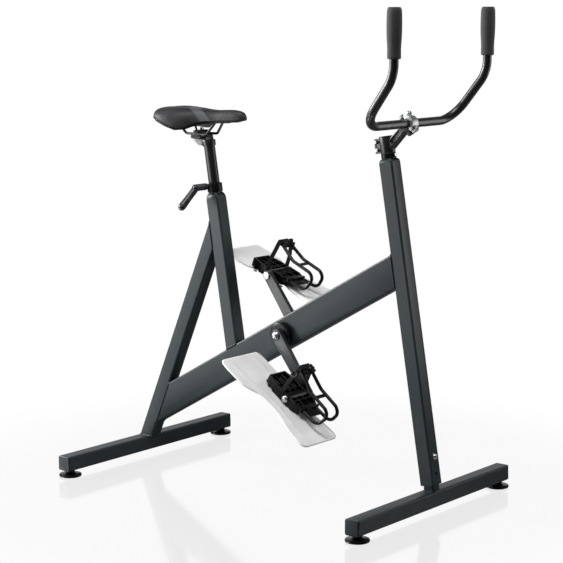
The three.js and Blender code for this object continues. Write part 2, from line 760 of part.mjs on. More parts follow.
function makeCrankset(centre) {
  const outerFace = crankInnerFace + crankThickness;
  const threadEnd = outerFace + crankNutHeight * nutThreadShare;
  const squareHalf = crankSquare / 2;
  let axle = rod(axleDiameter, -crankInnerFace + touchGap, crankInnerFace - touchGap);
  const squareEnd = outerFace - touchGap * 2;
  const squareStart = crankInnerFace - touchGap * 2;
  for (const [low, high] of [[squareStart, squareEnd], [-squareEnd, -squareStart]]) {
    axle = axle.add(block(at(-squareHalf, -squareHalf, low), at(squareHalf, squareHalf, high)));
  }
  axle = axle.add(rod(axleThread, -threadEnd, threadEnd, smallSides));
  const axlePiece = addPiece("crank_axle", alongY(axle), steel, centre);
  axlePiece.rotation.y = -crankForwardAngle;

  for (const [hand, side] of [["right", -1], ["left", 1]]) {
    const turn = new THREE.Group();
    turn.rotation.y = side < 0 ? -crankForwardAngle : Math.PI - crankForwardAngle;
    centre.add(turn);
    // the arm is drawn flat with its tip down, then stood up in the plane of the wheel
    const stand = new THREE.Matrix4().makeBasis(at(1, 0, 0), at(0, 0, 1), at(0, side, 0));
    addPiece(`crank_arm_${hand}`, placed(crankArm(), stand), crankGrey, turn);

    const nut = solidOf(domedNut().rotateX(Math.PI / 2));
    const inside = bore(axleThread, 0, threadEnd + touchGap, touchGap, smallSides);
    const nutSolid = nut.subtract(inside);
    addPiece(`crank_nut_${hand}`, placed(nutSolid, stand), chrome, turn);

    addPiece(`pedal_spindle_${hand}`, shifted(placed(spindle(), stand), 0, 0, -crankLength), chrome, turn);
  }
}

function domedNut() {
  const face = crankInnerFace + crankThickness + 2 * touchGap;
  const place = ([r, h]) => new THREE.Vector2(r * crankNutRadius, face + h * crankNutHeight);
  const profile = nutShares.map(place);
  return new THREE.LatheGeometry(profile, smallSides);
}

function spindle() {
  const inner = crankInnerFace + crankFlare - 2 * touchGap;
  const outer = crankInnerFace + crankFlare + crankThickness + 2 * touchGap;
  const pedalInner = pedalCentreOut - pedalWidth / 2;
  const end = pedalCentreOut + pedalWidth / 2 + pedalCapHeight / 2;
  const head = rod(spindleShoulder, inner - spindleHeadHeight, inner, smallSides);
  const thread = rod(spindleThread, inner - touchGap, outer + touchGap);
  const shoulder = rod(spindleShoulder, outer, pedalInner - touchGap, smallSides);
  const shaft = rod(spindleDiameter, outer, end, smallSides);
  return head.add(thread).add(shoulder).add(shaft);
}

// Pedal, drawn with +Y away from the bike and +X towards the toes
function pedalBody() {
  const half = pedalWidth / 2;
  const cut = pedalCornerCut;
  const rear = -pedalRearReach;
  const outline = new THREE.Shape([
    new THREE.Vector2(rear, -half + cut / 2), new THREE.Vector2(rear + 2 * cut, -half),
    new THREE.Vector2(pedalFrontReach - cut, -half), new THREE.Vector2(pedalFrontReach, -half + cut / 2),
    new THREE.Vector2(pedalFrontReach, half - cut / 2), new THREE.Vector2(pedalFrontReach - cut, half),
    new THREE.Vector2(rear + 2 * cut, half), new THREE.Vector2(rear, half - cut / 2),
  ]);
  let body = prism(outline, pedalTop - pedalDeck, pedalTop);
  const wallLow = -pedalBottom;
  const wallRear = -pedalRearReach + 2 * cut;
  const wallFront = pedalFrontReach - cut;
  for (const side of [-1, 1]) {
    const low = Math.min(side * half, side * (half - pedalSideWall));
    const high = Math.max(side * half, side * (half - pedalSideWall));
    body = body.add(block(at(wallRear, low, wallLow), at(wallFront, high, pedalTop)));
  }
  for (const x of [-pedalRearReach + pedalRibWidth, pedalFrontReach - pedalRibWidth]) {
    const ribLow = at(x - pedalRibWidth / 2, -half + cut / 2, wallLow + pedalRibWidth / 2);
    body = body.add(block(ribLow, at(x + pedalRibWidth / 2, half - cut / 2, pedalTop)));
  }
  body = body.add(alongY(rod(pedalBarrel, -half, half)));
  const slot = (pedalRearReach - pedalBarrel / 2) / 2;
  for (const [low, high] of [[-pedalRearReach + cut, -pedalBarrel / 2 - pedalRibWidth / 2],
    [pedalBarrel / 2 + pedalRibWidth / 2, pedalFrontReach - cut]]) {
    for (const side of [-1, 0, 1]) {
      const middle = side * (half - pedalSideWall) * pedalSlotSpreadShare;
      const reach = slot / 4;
      body = body.subtract(block(at(low, middle - reach, pedalTop - pedalDeck - overrun),
        at(high, middle + reach, pedalTop + overrun)));
    }
  }
  body = body.add(pedalBosses());
  const hole = alongY(bore(spindleDiameter, -half - overrun, half + overrun, touchGap, roundSides));
  return body.subtract(hole);
}

function pedalBosses() {
  const bottom = -paddleDrop + paddleThickness / 2 + touchGap;
  const front = pedalFrontReach - pedalCornerCut;
  const rear = -pedalRearReach + pedalCornerCut;
  const inside = pedalWidth / 2 - pedalBossDiameter / 2;
  const boss = rod(pedalBossDiameter, bottom, pedalTop - pedalDeck / 2, smallSides);
  let bosses = shifted(boss, front, inside, 0);
  for (const [x, y] of [[front, -inside], [rear, inside], [rear, -inside]]) {
    bosses = bosses.add(shifted(boss, x, y, 0));
  }
  return bosses;
}

function pedalCap() {
  const face = pedalWidth / 2 + touchGap;
  const radius = pedalCapDiameter / 2;
  const profile = pedalCapShares.map(([r, h]) => new THREE.Vector2(r * radius, face + h * pedalCapHeight));
  const cap = solidOf(new THREE.LatheGeometry(profile, smallSides));
  const inside = pedalWidth / 2 + pedalCapHeight / 2 + touchGap;
  const socket = bore(spindleDiameter, 0, inside, touchGap, smallSides);
  return cap.subtract(placed(socket, new THREE.Matrix4().makeRotationX(-Math.PI / 2)));
}

function toeClip() {
  const foot = pedalFrontReach + touchGap;
  const low = clipWireRadius + touchGap;
  const corners = [
    [foot + clipFootThickness / 2, clipFootHalfWidth, low],
    [clipFootReach, clipFootHalfWidth, low],
    [clipNoseReach, clipNoseHalfWidth, clipNoseHeight],
    [clipToeReach, clipNoseHalfWidth, clipToeHeight],
    [clipArchReach, clipNoseHalfWidth, clipArchHeight],
    [-clipTopSetback, clipTopHalfWidth, clipTopHeight],
  ];
  const radii = clipBendShares.map((share) => share * clipWireRadius);
  let clip = null;
  for (const side of [-1, 1]) {
    const path = corners.map(([x, y, z]) => at(x, side * y, z));
    const wire = bentRod(path, radii, clipWireRadius, wireSides, wireBendSteps);
    clip = clip ? clip.add(wire) : wire;
  }
  const footHalf = clipFootHalfWidth + 2 * clipWireRadius;
  const footLow = at(foot, -footHalf, low - clipFootThickness);
  clip = clip.add(block(footLow, at(foot + clipFootThickness, footHalf, low + clipFootThickness)));
  const plateHalf = clipPlateThickness / 2;
  clip = clip.add(block(at(foot, -clipFootHalfWidth, low - plateHalf),
    at(foot + clipPlateReach, clipFootHalfWidth, low + plateHalf)));
  const topHalf = clipTopLength / 2;
  const topSide = clipTopHalfWidth + clipWireRadius;
  const topDepth = clipTopThickness / 2;
  const topLow = at(-clipTopSetback - topHalf, -topSide, clipTopHeight - topDepth);
  clip = clip.add(block(topLow, at(-clipTopSetback + topHalf, topSide, clipTopHeight + topDepth)));
  const bridge = (clipToeReach + clipArchReach) / 2 - clipBridgeLength;
  const bridgeHeight = (clipToeHeight + clipArchHeight) / 2;
  const bridgeDepth = clipBridgeThickness / 2;
  const bridgeLow = at(bridge - clipBridgeLength / 2, -clipNoseHalfWidth, bridgeHeight - bridgeDepth);
  const bridgeTop = at(bridge + clipBridgeLength / 2, clipNoseHalfWidth, bridgeHeight + bridgeDepth);
  return clip.add(block(bridgeLow, bridgeTop));
}

// Strap seen from behind: up one side, over the top of the clip and down the other
function strapSide() {
  const foot = pedalWidth / 2 + touchGap;
  const top = clipTopHeight + clipTopThickness / 2 + touchGap;
  const shoulder = clipTopHalfWidth + clipWireRadius + strapShoulderGap;
  return { foot, top, shoulder };
}

function toeStrap() {
  const { foot, top, shoulder } = strapSide();
  const t = strapThickness;
  const knee = pedalTop + strapKneeRise;
  const right = [[foot, -strapFootDrop], [foot, knee], [shoulder, top]];
  const outside = [[foot + t, -strapFootDrop], [foot + t, knee], [shoulder + t, top + t]];
  const points = [...outside, ...outside.map(([y, z]) => [-y, z]).reverse()];
  points.push(...right.map(([y, z]) => [-y, z]), ...right.slice().reverse());
  const shape = outlineOf(points.map(([y, z]) => new THREE.Vector2(y, z)));
  const band = prism(shape, -strapWidth / 2, strapWidth / 2);
  // drawn in the plane across the pedal, then stood square to the toes
  const stand = new THREE.Matrix4().makeBasis(at(0, 1, 0), at(0, 0, 1), at(1, 0, 0));
  return shifted(placed(band, stand), -strapSetback, 0, 0);
}

function strapBuckle() {
  const { foot, top, shoulder } = strapSide();
  const low = pedalTop + strapKneeRise;
  const high = top + strapThickness;
  const slope = Math.atan2(foot - shoulder, high - low);
  const plate = block(at(-buckleLength / 2, 0, -buckleHeight / 2),
    at(buckleLength / 2, buckleThickness, buckleHeight / 2));
  const window = block(at(-strapWidth / 2, buckleThickness / 2, -buckleHeight / 4),
    at(strapWidth / 2, buckleThickness + overrun, buckleHeight / 4));
  const y = foot + strapThickness + (shoulder - foot) * buckleHeightShare + touchGap / Math.cos(slope);
  const z = low + (high - low) * buckleHeightShare;
  const tilt = new THREE.Matrix4().makeRotationX(slope);
  return shifted(placed(plate.subtract(window), tilt), -strapSetback, y, z);
}

// Half-widths of the paddle from its rear end to its front end, as shares of its length and width
const paddleStationShares = [
  0, 0.012, 0.04, 0.1, 0.2, 0.29, 0.35, 0.39, 0.45, 0.55, 0.66, 0.72, 0.78, 0.87, 0.95, 0.985, 1,
];
const paddleWidthShares = [
  0.84, 0.92, 0.98, 1, 0.99, 0.94, 0.8, 0.68, 0.65, 0.65, 0.7, 0.79, 0.86, 0.91, 0.92, 0.86, 0.74,
];

function waterPaddle() {
  const half = paddleThickness / 2;
  const middle = paddleMiddle();
  const rings = paddleStationShares.map((share, i) => {
    const x = share * paddleLength - paddleRearReach;
    const width = paddleWidthShares[i] * paddleHalfWidth;
    const away = (2 * share - 1) ** 4;
    const z = -paddleDrop + paddleLift * away;
    const edge = width - half;
    const under = [[-width, 0], [-edge, -half], [0, -half], [edge, -half]];
    const over = [[width, 0], [edge, half], [0, half], [-edge, half]];
    return [...under, ...over].map(([y, lift]) => at(x, middle + y, z + lift));
  });
  return lofted(rings);
}

function paddleMiddle() {
  const inner = crankInnerFace + crankFlare + crankThickness + paddleClearOfCrank;
  return inner + paddleHalfWidth - pedalCentreOut;
}

function makePedals(centre) {
  const pitches = { right: rightPedalPitch, left: leftPedalPitch };
  for (const [hand, side] of [["right", -1], ["left", 1]]) {
    const pedal = new THREE.Group();
    const swing = side < 0 ? -crankLength : crankLength;
    pedal.position.set(-swing * Math.sin(crankForwardAngle), side * pedalCentreOut,
      swing * Math.cos(crankForwardAngle));
    pedal.rotation.y = pitches[hand];
    centre.add(pedal);
    addPiece(`pedal_body_${hand}`, mirrored(pedalBody(), side), blackPlastic, pedal);
    addPiece(`pedal_cap_${hand}`, mirrored(pedalCap(), side), chrome, pedal);
    addPiece(`toe_clip_${hand}`, mirrored(toeClip(), side), blackPlastic, pedal);
    addPiece(`toe_strap_${hand}`, mirrored(toeStrap(), side), webbing, pedal);
    addPiece(`strap_buckle_${hand}`, mirrored(strapBuckle(), side), steel, pedal);
    addPiece(`water_paddle_${hand}`, mirrored(waterPaddle(), side), paddleMilk, pedal);
  }
}

// Seat post with the clamping lever that holds it
const leverHeight = seatTaperHeight + seatCollarHeight * leverHeightShare;

function leverStudHole() {
  const hole = bore(leverStudDiameter, 0, seatCollarDiameter, touchGap, smallSides);
  return shifted(placed(hole, leverTurn()), 0, 0, leverHeight);
}

// Local +Z points out of the collar, to the right and a little to the rear.
function leverTurn() {
  const out = at(-Math.sin(leverTurnAside), -Math.cos(leverTurnAside), 0);
  const up = at(0, 0, 1);
  return new THREE.Matrix4().makeBasis(new THREE.Vector3().crossVectors(up, out), up, out);
}

function seatLever() {
  const studStart = seatPostDiameter / 2 + touchGap;
  const hubStart = seatCollarDiameter / 2 + touchGap;
  const stud = rod(leverStudDiameter, studStart, leverHubEnd - leverHubDiameter / 2, smallSides);
  const washer = rod(leverHubDiameter - touchGap * 8, hubStart, hubStart + leverWasher, smallSides);
  const hub = rod(leverHubDiameter, hubStart + leverWasher - touchGap, leverHubEnd, smallSides);
  const elbow = at(0, 0, leverHubEnd - leverHubDiameter / 2);
  const tip = at(0, -leverArmDrop, leverHubEnd - leverHubDiameter / 2 + leverArmReach);
  const run = tip.clone().sub(elbow);
  const [nearTip, atTip] = leverRoundShares;
  const radii = [leverArmRadius, leverArmRadius, leverArmRadius, leverTipRadius,
    leverTipRadius * nearTip, leverTipRadius * atTip];
  const rings = leverStationShares.map((share, i) => {
    return polygon(radii[i], smallSides).map((point) => at(point.x, point.y, run.length() * share));
  });
  const turn = new THREE.Quaternion().setFromUnitVectors(at(0, 0, 1), run.clone().normalize());
  const place = new THREE.Matrix4().makeRotationFromQuaternion(turn).setPosition(elbow);
  const lever = stud.add(washer).add(hub).add(placed(lofted(rings), place));
  return shifted(placed(lever, leverTurn()), 0, 0, leverHeight);
}

function makeSeatPost(seatTop) {
  const top = seatPostEnd.distanceTo(seatTubeTop);
  const tube = rod(seatPostDiameter, -seatPostInsert, top);
  const hollow = rod(seatPostDiameter - 2 * seatPostWall, -seatPostInsert - overrun, top + overrun);
  addPiece("seat_post", tube.subtract(hollow), blackGloss, seatTop);
  addPiece("seat_lever", seatLever(), blackPlastic, seatTop);
}

// Saddle clamp: the cradle rocks on a round seat whose centre lies above it
function sidewaysPrism(points, width) {
  const shape = outlineOf(points.map(([x, z]) => new THREE.Vector2(x, z)));
  const stand = new THREE.Matrix4().makeBasis(at(1, 0, 0), at(0, 0, 1), at(0, -1, 0));
  return placed(prism(shape, -width / 2, width / 2), stand);
}

function seatArc(radius, low, high, steps) {
  const points = [];
  for (let k = 0; k <= steps; k += 1) {
    const x = low + ((high - low) * k) / steps;
    points.push([tiltCentre.x + x, tiltCentre.z - Math.sqrt(radius ** 2 - x ** 2)]);
  }
  return points;
}

function makeSaddleClamp() {
  const headRear = headRearAhead - tiltCentre.x;
  const headFront = headRear + headLength;
  const arc = seatArc(tiltRadius + touchGap, headRear, headFront, tipSteps);
  const bottom = cradleSeatHeight - headPlate;
  const lowest = bottom - headDrop + headPlate;
  const profile = [
    [headRearAhead + headLength, bottom], [headRearAhead + headLength * headFrontShare, bottom],
    [headRearAhead + headLength * headStepShare, lowest],
    [headRearAhead + headLength * headRearShare, lowest], [headRearAhead, bottom],
  ];
  let head = sidewaysPrism([...arc, ...profile], headWidth);
  const postReach = seatPostEnd.distanceTo(seatTubeTop);
  const toPost = frameAlong(seatTubeTop, seatAxis);
  const socketDiameter = seatPostDiameter + 2 * headSocketWall;
  const socket = rod(socketDiameter, postReach - headSocketDepth, postReach + headPlate);
  head = head.add(placed(socket, toPost));
  const postHole = bore(seatPostDiameter, 0, postReach + touchGap);
  head = head.subtract(placed(postHole, toPost));
  const boltReach = tiltRadius + clampBoltDrop;
  const boltRoom = clampBoltSize / 2 + 2 * touchGap;
  const slotRear = tiltCentre.x - boltReach * Math.sin(noseDownTilt) - boltRoom;
  const slotFront = tiltCentre.x + boltReach * Math.sin(noseUpTilt) + boltRoom;
  const slotHalf = clampBoltSize / 2 + touchGap;
  head = head.subtract(block(at(slotRear, -slotHalf, bottom - headDrop),
    at(slotFront, slotHalf, cradleSeatHeight + overrun)));
  addPiece("seat_post_head", head, crankGrey);

  const half = cradleLength / 2;
  const lowerArc = seatArc(tiltRadius, -half, half, arcSteps);
  const cheek = cradleLowerThickness * cradleCheekShare;
  const ends = [[tiltCentre.x + half, railHeight], [tiltCentre.x - half, railHeight]];
  const cup = lowerArc.filter(([, z]) => z < cradleSeatHeight + cheek);
  let lower = sidewaysPrism([...cup, ...ends], cradleWidth);
  lower = trimmed(lower, at(0, 0, railHeight - touchGap), at(0, 0, 1));
  const upperTop = railHeight + railDiameter / 2 + cradleUpperThickness;
  let upper = block(at(tiltCentre.x - cradleUpperLength / 2, -cradleWidth / 2, railHeight + touchGap),
    at(tiltCentre.x + cradleUpperLength / 2, cradleWidth / 2, upperTop));
  for (const side of [-1, 1]) {
    const groove = alongX(bore(railDiameter, -cradleLength, cradleLength, touchGap, wireSides));
    const cut = shifted(groove, tiltCentre.x, side * railHalfSpacing, railHeight);
    lower = lower.subtract(cut);
    upper = upper.subtract(cut);
  }
  const boltTop = upperTop + touchGap;
  const drill = bore(clampBoltSize, cradleSeatHeight - overrun, boltTop + overrun, touchGap, smallSides);
  const boltHole = shifted(drill, tiltCentre.x, 0, 0);
  addPiece("saddle_cradle_lower", lower.subtract(boltHole), blackPlastic);
  addPiece("saddle_cradle_upper", upper.subtract(boltHole), blackPlastic);
  const shank = rod(clampBoltSize, cradleSeatHeight - clampBoltDrop, boltTop + touchGap, smallSides);
  const boltHead = rod(clampBoltHead, boltTop, boltTop + clampBoltSize, boltSides);
  addPiece("saddle_clamp_bolt", shifted(shank.add(boltHead), tiltCentre.x, 0, 0), steel);
}

// Saddle: half-widths, crown heights and edge heights from the rear end to the nose
const saddleStationShares = [
  0, 0.02, 0.07, 0.14, 0.22, 0.31, 0.4, 0.49, 0.58, 0.67, 0.76, 0.85, 0.92, 0.97, 1,
];
const saddleWidthShares = [
  0.5, 0.74, 0.93, 1, 0.99, 0.91, 0.72, 0.53, 0.4, 0.32, 0.285, 0.25, 0.215, 0.16, 0.07,
];
const saddleCrownShares = [
  -0.24, -0.12, -0.04, -0.01, 0, -0.01, -0.03, -0.06, -0.09, -0.1, -0.08, -0.07, -0.1, -0.17, -0.3,
];
const saddleEdgeShares = [
  -0.48, -0.5, -0.56, -0.69, -0.84, -0.98, -0.94, -0.75, -0.66, -0.63, -0.61, -0.59, -0.57, -0.53, -0.46,
];

// Across the saddle, from the middle of the top round to the middle of the underside
const cushionAcrossShares = [0, 0.16, 0.36, 0.6, 0.82, 0.96, 1, 0.95, 0.7, 0.36, 0];
const cushionDropShares = [0, 0, 0.01, 0.06, 0.2, 0.45, 0.72, 0.9, 0.86, 0.8, 0.78];

function cushionRing(i, channel) {
  const x = saddleRearAhead + saddleStationShares[i] * saddleLength;
  const width = saddleWidthShares[i] * saddleHalfWidth;
  const crown = saddleTopHeight + saddleCrownShares[i] * saddleDepth;
  const edge = saddleTopHeight + saddleEdgeShares[i] * saddleDepth;
  const right = cushionAcrossShares.map((share, k) => {
    const dip = k === 0 ? channel : 0;
    return at(x, -share * width, crown + (edge - crown) * cushionDropShares[k] - dip);
  });
  const left = right.slice(1, -1).reverse().map((point) => at(point.x, -point.y, point.z));
  return [...right, ...left];
}

function saddleCushion() {
  const rings = saddleStationShares.map((share, i) => {
    const inMiddle = Math.max(0, Math.sin(Math.PI * share));
    return cushionRing(i, channelDepth * inMiddle);
  });
  return lofted(rings);
}

// The shell closes the underside of the cushion and takes the ends of the rails.
function saddleShell() {
  const firstUnder = cushionAcrossShares.indexOf(1) + 1;
  const shares = cushionAcrossShares.slice(firstUnder);
  const drops = cushionDropShares.slice(firstUnder);
  const stations = saddleStationShares.map((share, i) => i).slice(1, -1);
  const rings = stations.map((i) => {
    const x = saddleRearAhead + saddleStationShares[i] * saddleLength;
    const width = saddleWidthShares[i] * saddleHalfWidth;
    const crown = saddleTopHeight + saddleCrownShares[i] * saddleDepth;
    const edge = saddleTopHeight + saddleEdgeShares[i] * saddleDepth;
    const under = shares.map((share, k) => {
      return at(x, -share * width, crown + (edge - crown) * drops[k] - shellSeatGap);
    });
    const low = under.slice().reverse().map((point) => at(point.x, point.y, point.z - shellThickness));
    const farLow = low.slice(1).map((point) => at(point.x, -point.y, point.z)).reverse();
    const farTop = under.slice(0, -1).reverse().map((point) => at(point.x, -point.y, point.z));
    return [...under, ...farTop, ...farLow, ...low];
  });
  return lofted(rings);
}

function saddleRail(side, spare) {
  const low = railHeight;
  const rear = tiltCentre.x - railStraightSetback;
  const front = rear + railStraight;
  const y = side * railHalfSpacing;
  const frontTop = saddleTopHeight - railFrontBelowTop;
  const corners = [
    at(rear - railRearRun, y * railRearSpread, saddleTopHeight - railRearBelowTop), at(rear, y, low),
    at(front, y, low), at(front + railFrontRun, y * railFrontDraw, frontTop),
  ];
  const spareEnd = spare * railSocketEndShare;
  const rearEnd = corners[0].clone().sub(corners[1]).setLength(spareEnd);
  const frontEnd = corners[3].clone().sub(corners[2]).setLength(spareEnd);
  corners[0].add(rearEnd);
  corners[3].add(frontEnd);
  const radii = [railBendRadius, railBendRadius];
  return bentRod(corners, radii, railDiameter / 2 + spare, wireSides, wireBendSteps);
}

function makeSaddle() {
  const cushion = saddleCushion();
  addPiece("saddle_cushion", cushion, saddleCover);
  let shell = saddleShell();
  for (const [hand, side] of [["right", -1], ["left", 1]]) {
    addPiece(`saddle_rail_${hand}`, saddleRail(side, 0), blackGloss);
    shell = shell.subtract(saddleRail(side, railSocketGap));
  }
  addPiece("saddle_shell", shell, blackPlastic);
}

// Steering column, stem and faceplate
function makeStem(steeringTop) {
  const clampTop = stemClampBase + stemClampHeight;
  const column = rod(columnDiameter, -columnInsert, clampTop - touchGap);
  const columnTop = rod(columnDiameter - overrun, clampTop - overrun, clampTop + touchGap * 2);
  const cap = rod(stemClampDiameter, clampTop + touchGap, clampTop + touchGap + columnCapHeight);
  const hollow = rod(columnDiameter - 4 * tubeWall, -columnInsert - overrun, clampTop - 3 * overrun);
  addPiece("steering_column", column.add(columnTop).add(cap).subtract(hollow), blackGloss, steeringTop);

  const toSteering = frameAlong(postTop, postAxis);
  const clamp = rod(stemClampDiameter, stemClampBase, clampTop);
  const ears = block(at(-stemEarReach, -stemEarWidth / 2, stemClampBase + touchGap),
    at(0, stemEarWidth / 2, clampTop - touchGap));
  let stem = placed(clamp.add(ears), toSteering);
  const armRing = (distance, depth) => {
    const ring = roundedBox(depth, stemArmWidth, tubeCorner).getPoints(cornerSteps).slice(0, -1);
    return ring.map((point) => at(point.x, point.y, distance));
  };
  const arm = lofted([armRing(0, stemArmDepth), armRing(stemArmLength, stemArmDepth)]);
  const armPlace = frameAlong(stemRoot, stemArmAxis);
  stem = stem.add(placed(arm, armPlace));
  for (const side of [-1, 1]) {
    const inner = side * (stemArmWidth / 2 - stemReliefDepth);
    const outer = side * (stemArmWidth / 2 + overrun);
    const start = stemClampDiameter / 2 + overrun;
    const relief = block(at(-stemArmDepth / 4, Math.min(inner, outer), start),
      at(stemArmDepth / 4, Math.max(inner, outer), start + stemReliefLength));
    stem = stem.subtract(placed(relief, armPlace));
  }
  const barClamp = alongY(rod(barClampDiameter, -barClampWidth / 2, barClampWidth / 2));
  stem = stem.add(shifted(barClamp, barCentre.x, 0, barCentre.z));
  stem = stem.add(faceBosses(-faceBossHeight, 0));
  stem = trimmed(stem, alongTo(barCentre, stemFaceAxis, -stemSlit / 2), stemFaceAxis);
  const barHole = alongY(bore(barDiameter, -barClampWidth, barClampWidth));
  stem = stem.subtract(shifted(barHole, barCentre.x, 0, barCentre.z));
  const columnHole = bore(columnDiameter, 0, clampTop + overrun);
  stem = stem.subtract(placed(columnHole, toSteering));
  const slit = block(at(-stemEarReach - overrun, -stemSlit / 2, stemClampBase - overrun),
    at(0, stemSlit / 2, clampTop + overrun));
  stem = stem.subtract(placed(slit, toSteering));
  stem = stem.subtract(placed(pinchBoltHoles(), toSteering));
  addPiece("stem", stem, blackGloss);

  let plate = shifted(barClamp, barCentre.x, 0, barCentre.z).add(faceBosses(0, faceBossHeight));
  plate = trimmed(plate, alongTo(barCentre, stemFaceAxis, stemSlit / 2), stemFaceAxis.clone().negate());
  addPiece("stem_faceplate", plate.subtract(shifted(barHole, barCentre.x, 0, barCentre.z)), chrome);

  for (const [name, height] of [["lower", pinchHeights()[0]], ["upper", pinchHeights()[1]]]) {
    const face = stemEarWidth / 2 + touchGap;
    const shank = rod(pinchBoltSize, 2 * touchGap - face, face, smallSides);
    const head = rod(pinchBoltHead, face, face + pinchBoltSize - touchGap, smallSides);
    const bolt = mirrored(alongY(shank.add(head)), -1);
    addPiece(`stem_pinch_bolt_${name}`, shifted(bolt, pinchBoltAhead(), 0, height), chrome, steeringTop);
  }
}

const pinchBoltAhead = () => -(columnDiameter / 2 + stemEarReach) / 2 - pinchBoltSize / 4;

function pinchHeights() {
  const middle = stemClampBase + stemClampHeight / 2;
  return [middle - pinchBoltSpacing / 2, middle + pinchBoltSpacing / 2];
}

function pinchBoltHoles() {
  const [lower, upper] = pinchHeights();
  const hole = alongY(bore(pinchBoltSize, -stemEarWidth, stemEarWidth, touchGap, smallSides));
  return shifted(hole, pinchBoltAhead(), 0, lower).add(shifted(hole, pinchBoltAhead(), 0, upper));
}

function faceBosses(low, high) {
  const boss = rod(faceBossDiameter, low, high, smallSides);
  const width = barClampWidth / 2 - faceBossDiameter / 2;
  const bar = block(at(-faceBossDiameter / 2, -width, low), at(faceBossDiameter / 2, width, high));
  const lug = boss.add(bar);
  const pair = shifted(lug, faceBoltOffset, 0, 0).add(shifted(lug, -faceBoltOffset, 0, 0));
  return placed(pair, frameAlong(barCentre, stemFaceAxis));
}

// Handlebar: a crossbar that turns up and forward into two upright horns
function makeHandlebar() {
  const height = barCentre.z;
  const ahead = barCentre.x;
  const side = (sign) => [
    at(ahead, sign * barCornerOut, height),
    at(ahead + hornReach, sign * (barCornerOut + hornOut), height + hornRise),
    at(ahead + hornReach, sign * (barCornerOut + hornOut), height + barTopRise),
  ];
  const corners = [...side(-1).reverse(), ...side(1)];
  const radii = [hornBendRadius, barCornerRadius, barCornerRadius, hornBendRadius];
  addPiece("handlebar", bentRod(corners, radii, barDiameter / 2, barSides, barBendSteps), blackGloss);

  const end = height + barTopRise;
  const low = end - gripLength + gripEndWall;
  for (const [hand, sign] of [["right", -1], ["left", 1]]) {
    const rings = gripShares.map(([along, width]) => {
      const ring = polygon((width * gripDiameter) / 2, roundSides);
      return ring.map((point) => at(point.x, point.y, low + along * gripLength));
    });
    const hole = bore(barDiameter, end - gripLength - overrun, end + touchGap, gripBore);
    const grip = lofted(rings).subtract(hole);
    const place = addPiece(`grip_${hand}`, grip, gripRubber);
    place.position.set(ahead + hornReach, sign * (barCornerOut + hornOut), 0);
  }
}

const seatTopGroup = groupAlong(seatTubeTop, seatAxis);
const steeringTopGroup = groupAlong(postTop, postAxis);
const crankGroup = new THREE.Group();
crankGroup.position.copy(crankCentre);
bike.add(crankGroup);

makeBaseBars();
makeFrame();
makeSleeves(seatTopGroup, steeringTopGroup);
makeFeet();
makeCrankBearing(crankGroup);
makeCrankset(crankGroup);
makePedals(crankGroup);
makeSeatPost(seatTopGroup);
makeSaddleClamp();
makeSaddle();
makeStem(steeringTopGroup);
makeHandlebar();

export default bike;
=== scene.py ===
import json
import math
import random

import bmesh
import bpy
from mathutils import Matrix, Vector


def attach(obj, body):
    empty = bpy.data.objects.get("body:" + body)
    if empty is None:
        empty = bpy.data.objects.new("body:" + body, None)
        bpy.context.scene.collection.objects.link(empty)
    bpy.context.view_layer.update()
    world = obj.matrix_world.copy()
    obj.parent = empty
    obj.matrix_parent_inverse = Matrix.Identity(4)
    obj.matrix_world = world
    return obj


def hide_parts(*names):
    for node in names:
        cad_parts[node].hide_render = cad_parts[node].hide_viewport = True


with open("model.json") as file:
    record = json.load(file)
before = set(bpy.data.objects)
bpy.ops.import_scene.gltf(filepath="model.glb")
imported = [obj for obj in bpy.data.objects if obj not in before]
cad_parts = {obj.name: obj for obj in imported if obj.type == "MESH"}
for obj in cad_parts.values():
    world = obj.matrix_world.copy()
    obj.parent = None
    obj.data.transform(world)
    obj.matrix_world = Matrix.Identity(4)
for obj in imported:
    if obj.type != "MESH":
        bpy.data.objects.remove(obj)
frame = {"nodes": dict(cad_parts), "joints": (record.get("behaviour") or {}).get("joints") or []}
nodes = frame["nodes"]
joints = {joint["name"]: joint for joint in frame["joints"]}
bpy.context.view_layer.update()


# Camera: stands ahead of the bike on the rider's right, a little above the saddle,
# and looks at the middle of the frame from about five metres.
eye_azimuth = math.radians(38.65)
eye_elevation = math.radians(8.83)
eye_distance = 5.0827
aim = Vector((-0.23472, 0.29189, 0.48007))

back = Vector((
    math.sin(eye_azimuth) * math.cos(eye_elevation),
    -math.cos(eye_azimuth) * math.cos(eye_elevation),
    math.sin(eye_elevation),
))
eye_right = Vector((math.cos(eye_azimuth), math.sin(eye_azimuth), 0))
camera = bpy.data.objects.new("camera", bpy.data.cameras.new("camera"))
bpy.context.scene.collection.objects.link(camera)
camera.matrix_world = (
    Matrix.Translation(aim + back * eye_distance)
    @ Matrix((eye_right, back.cross(eye_right), back)).transposed().to_4x4()
)
camera.data.sensor_width = 36
camera.data.lens = 115.02
bpy.context.scene.camera = camera


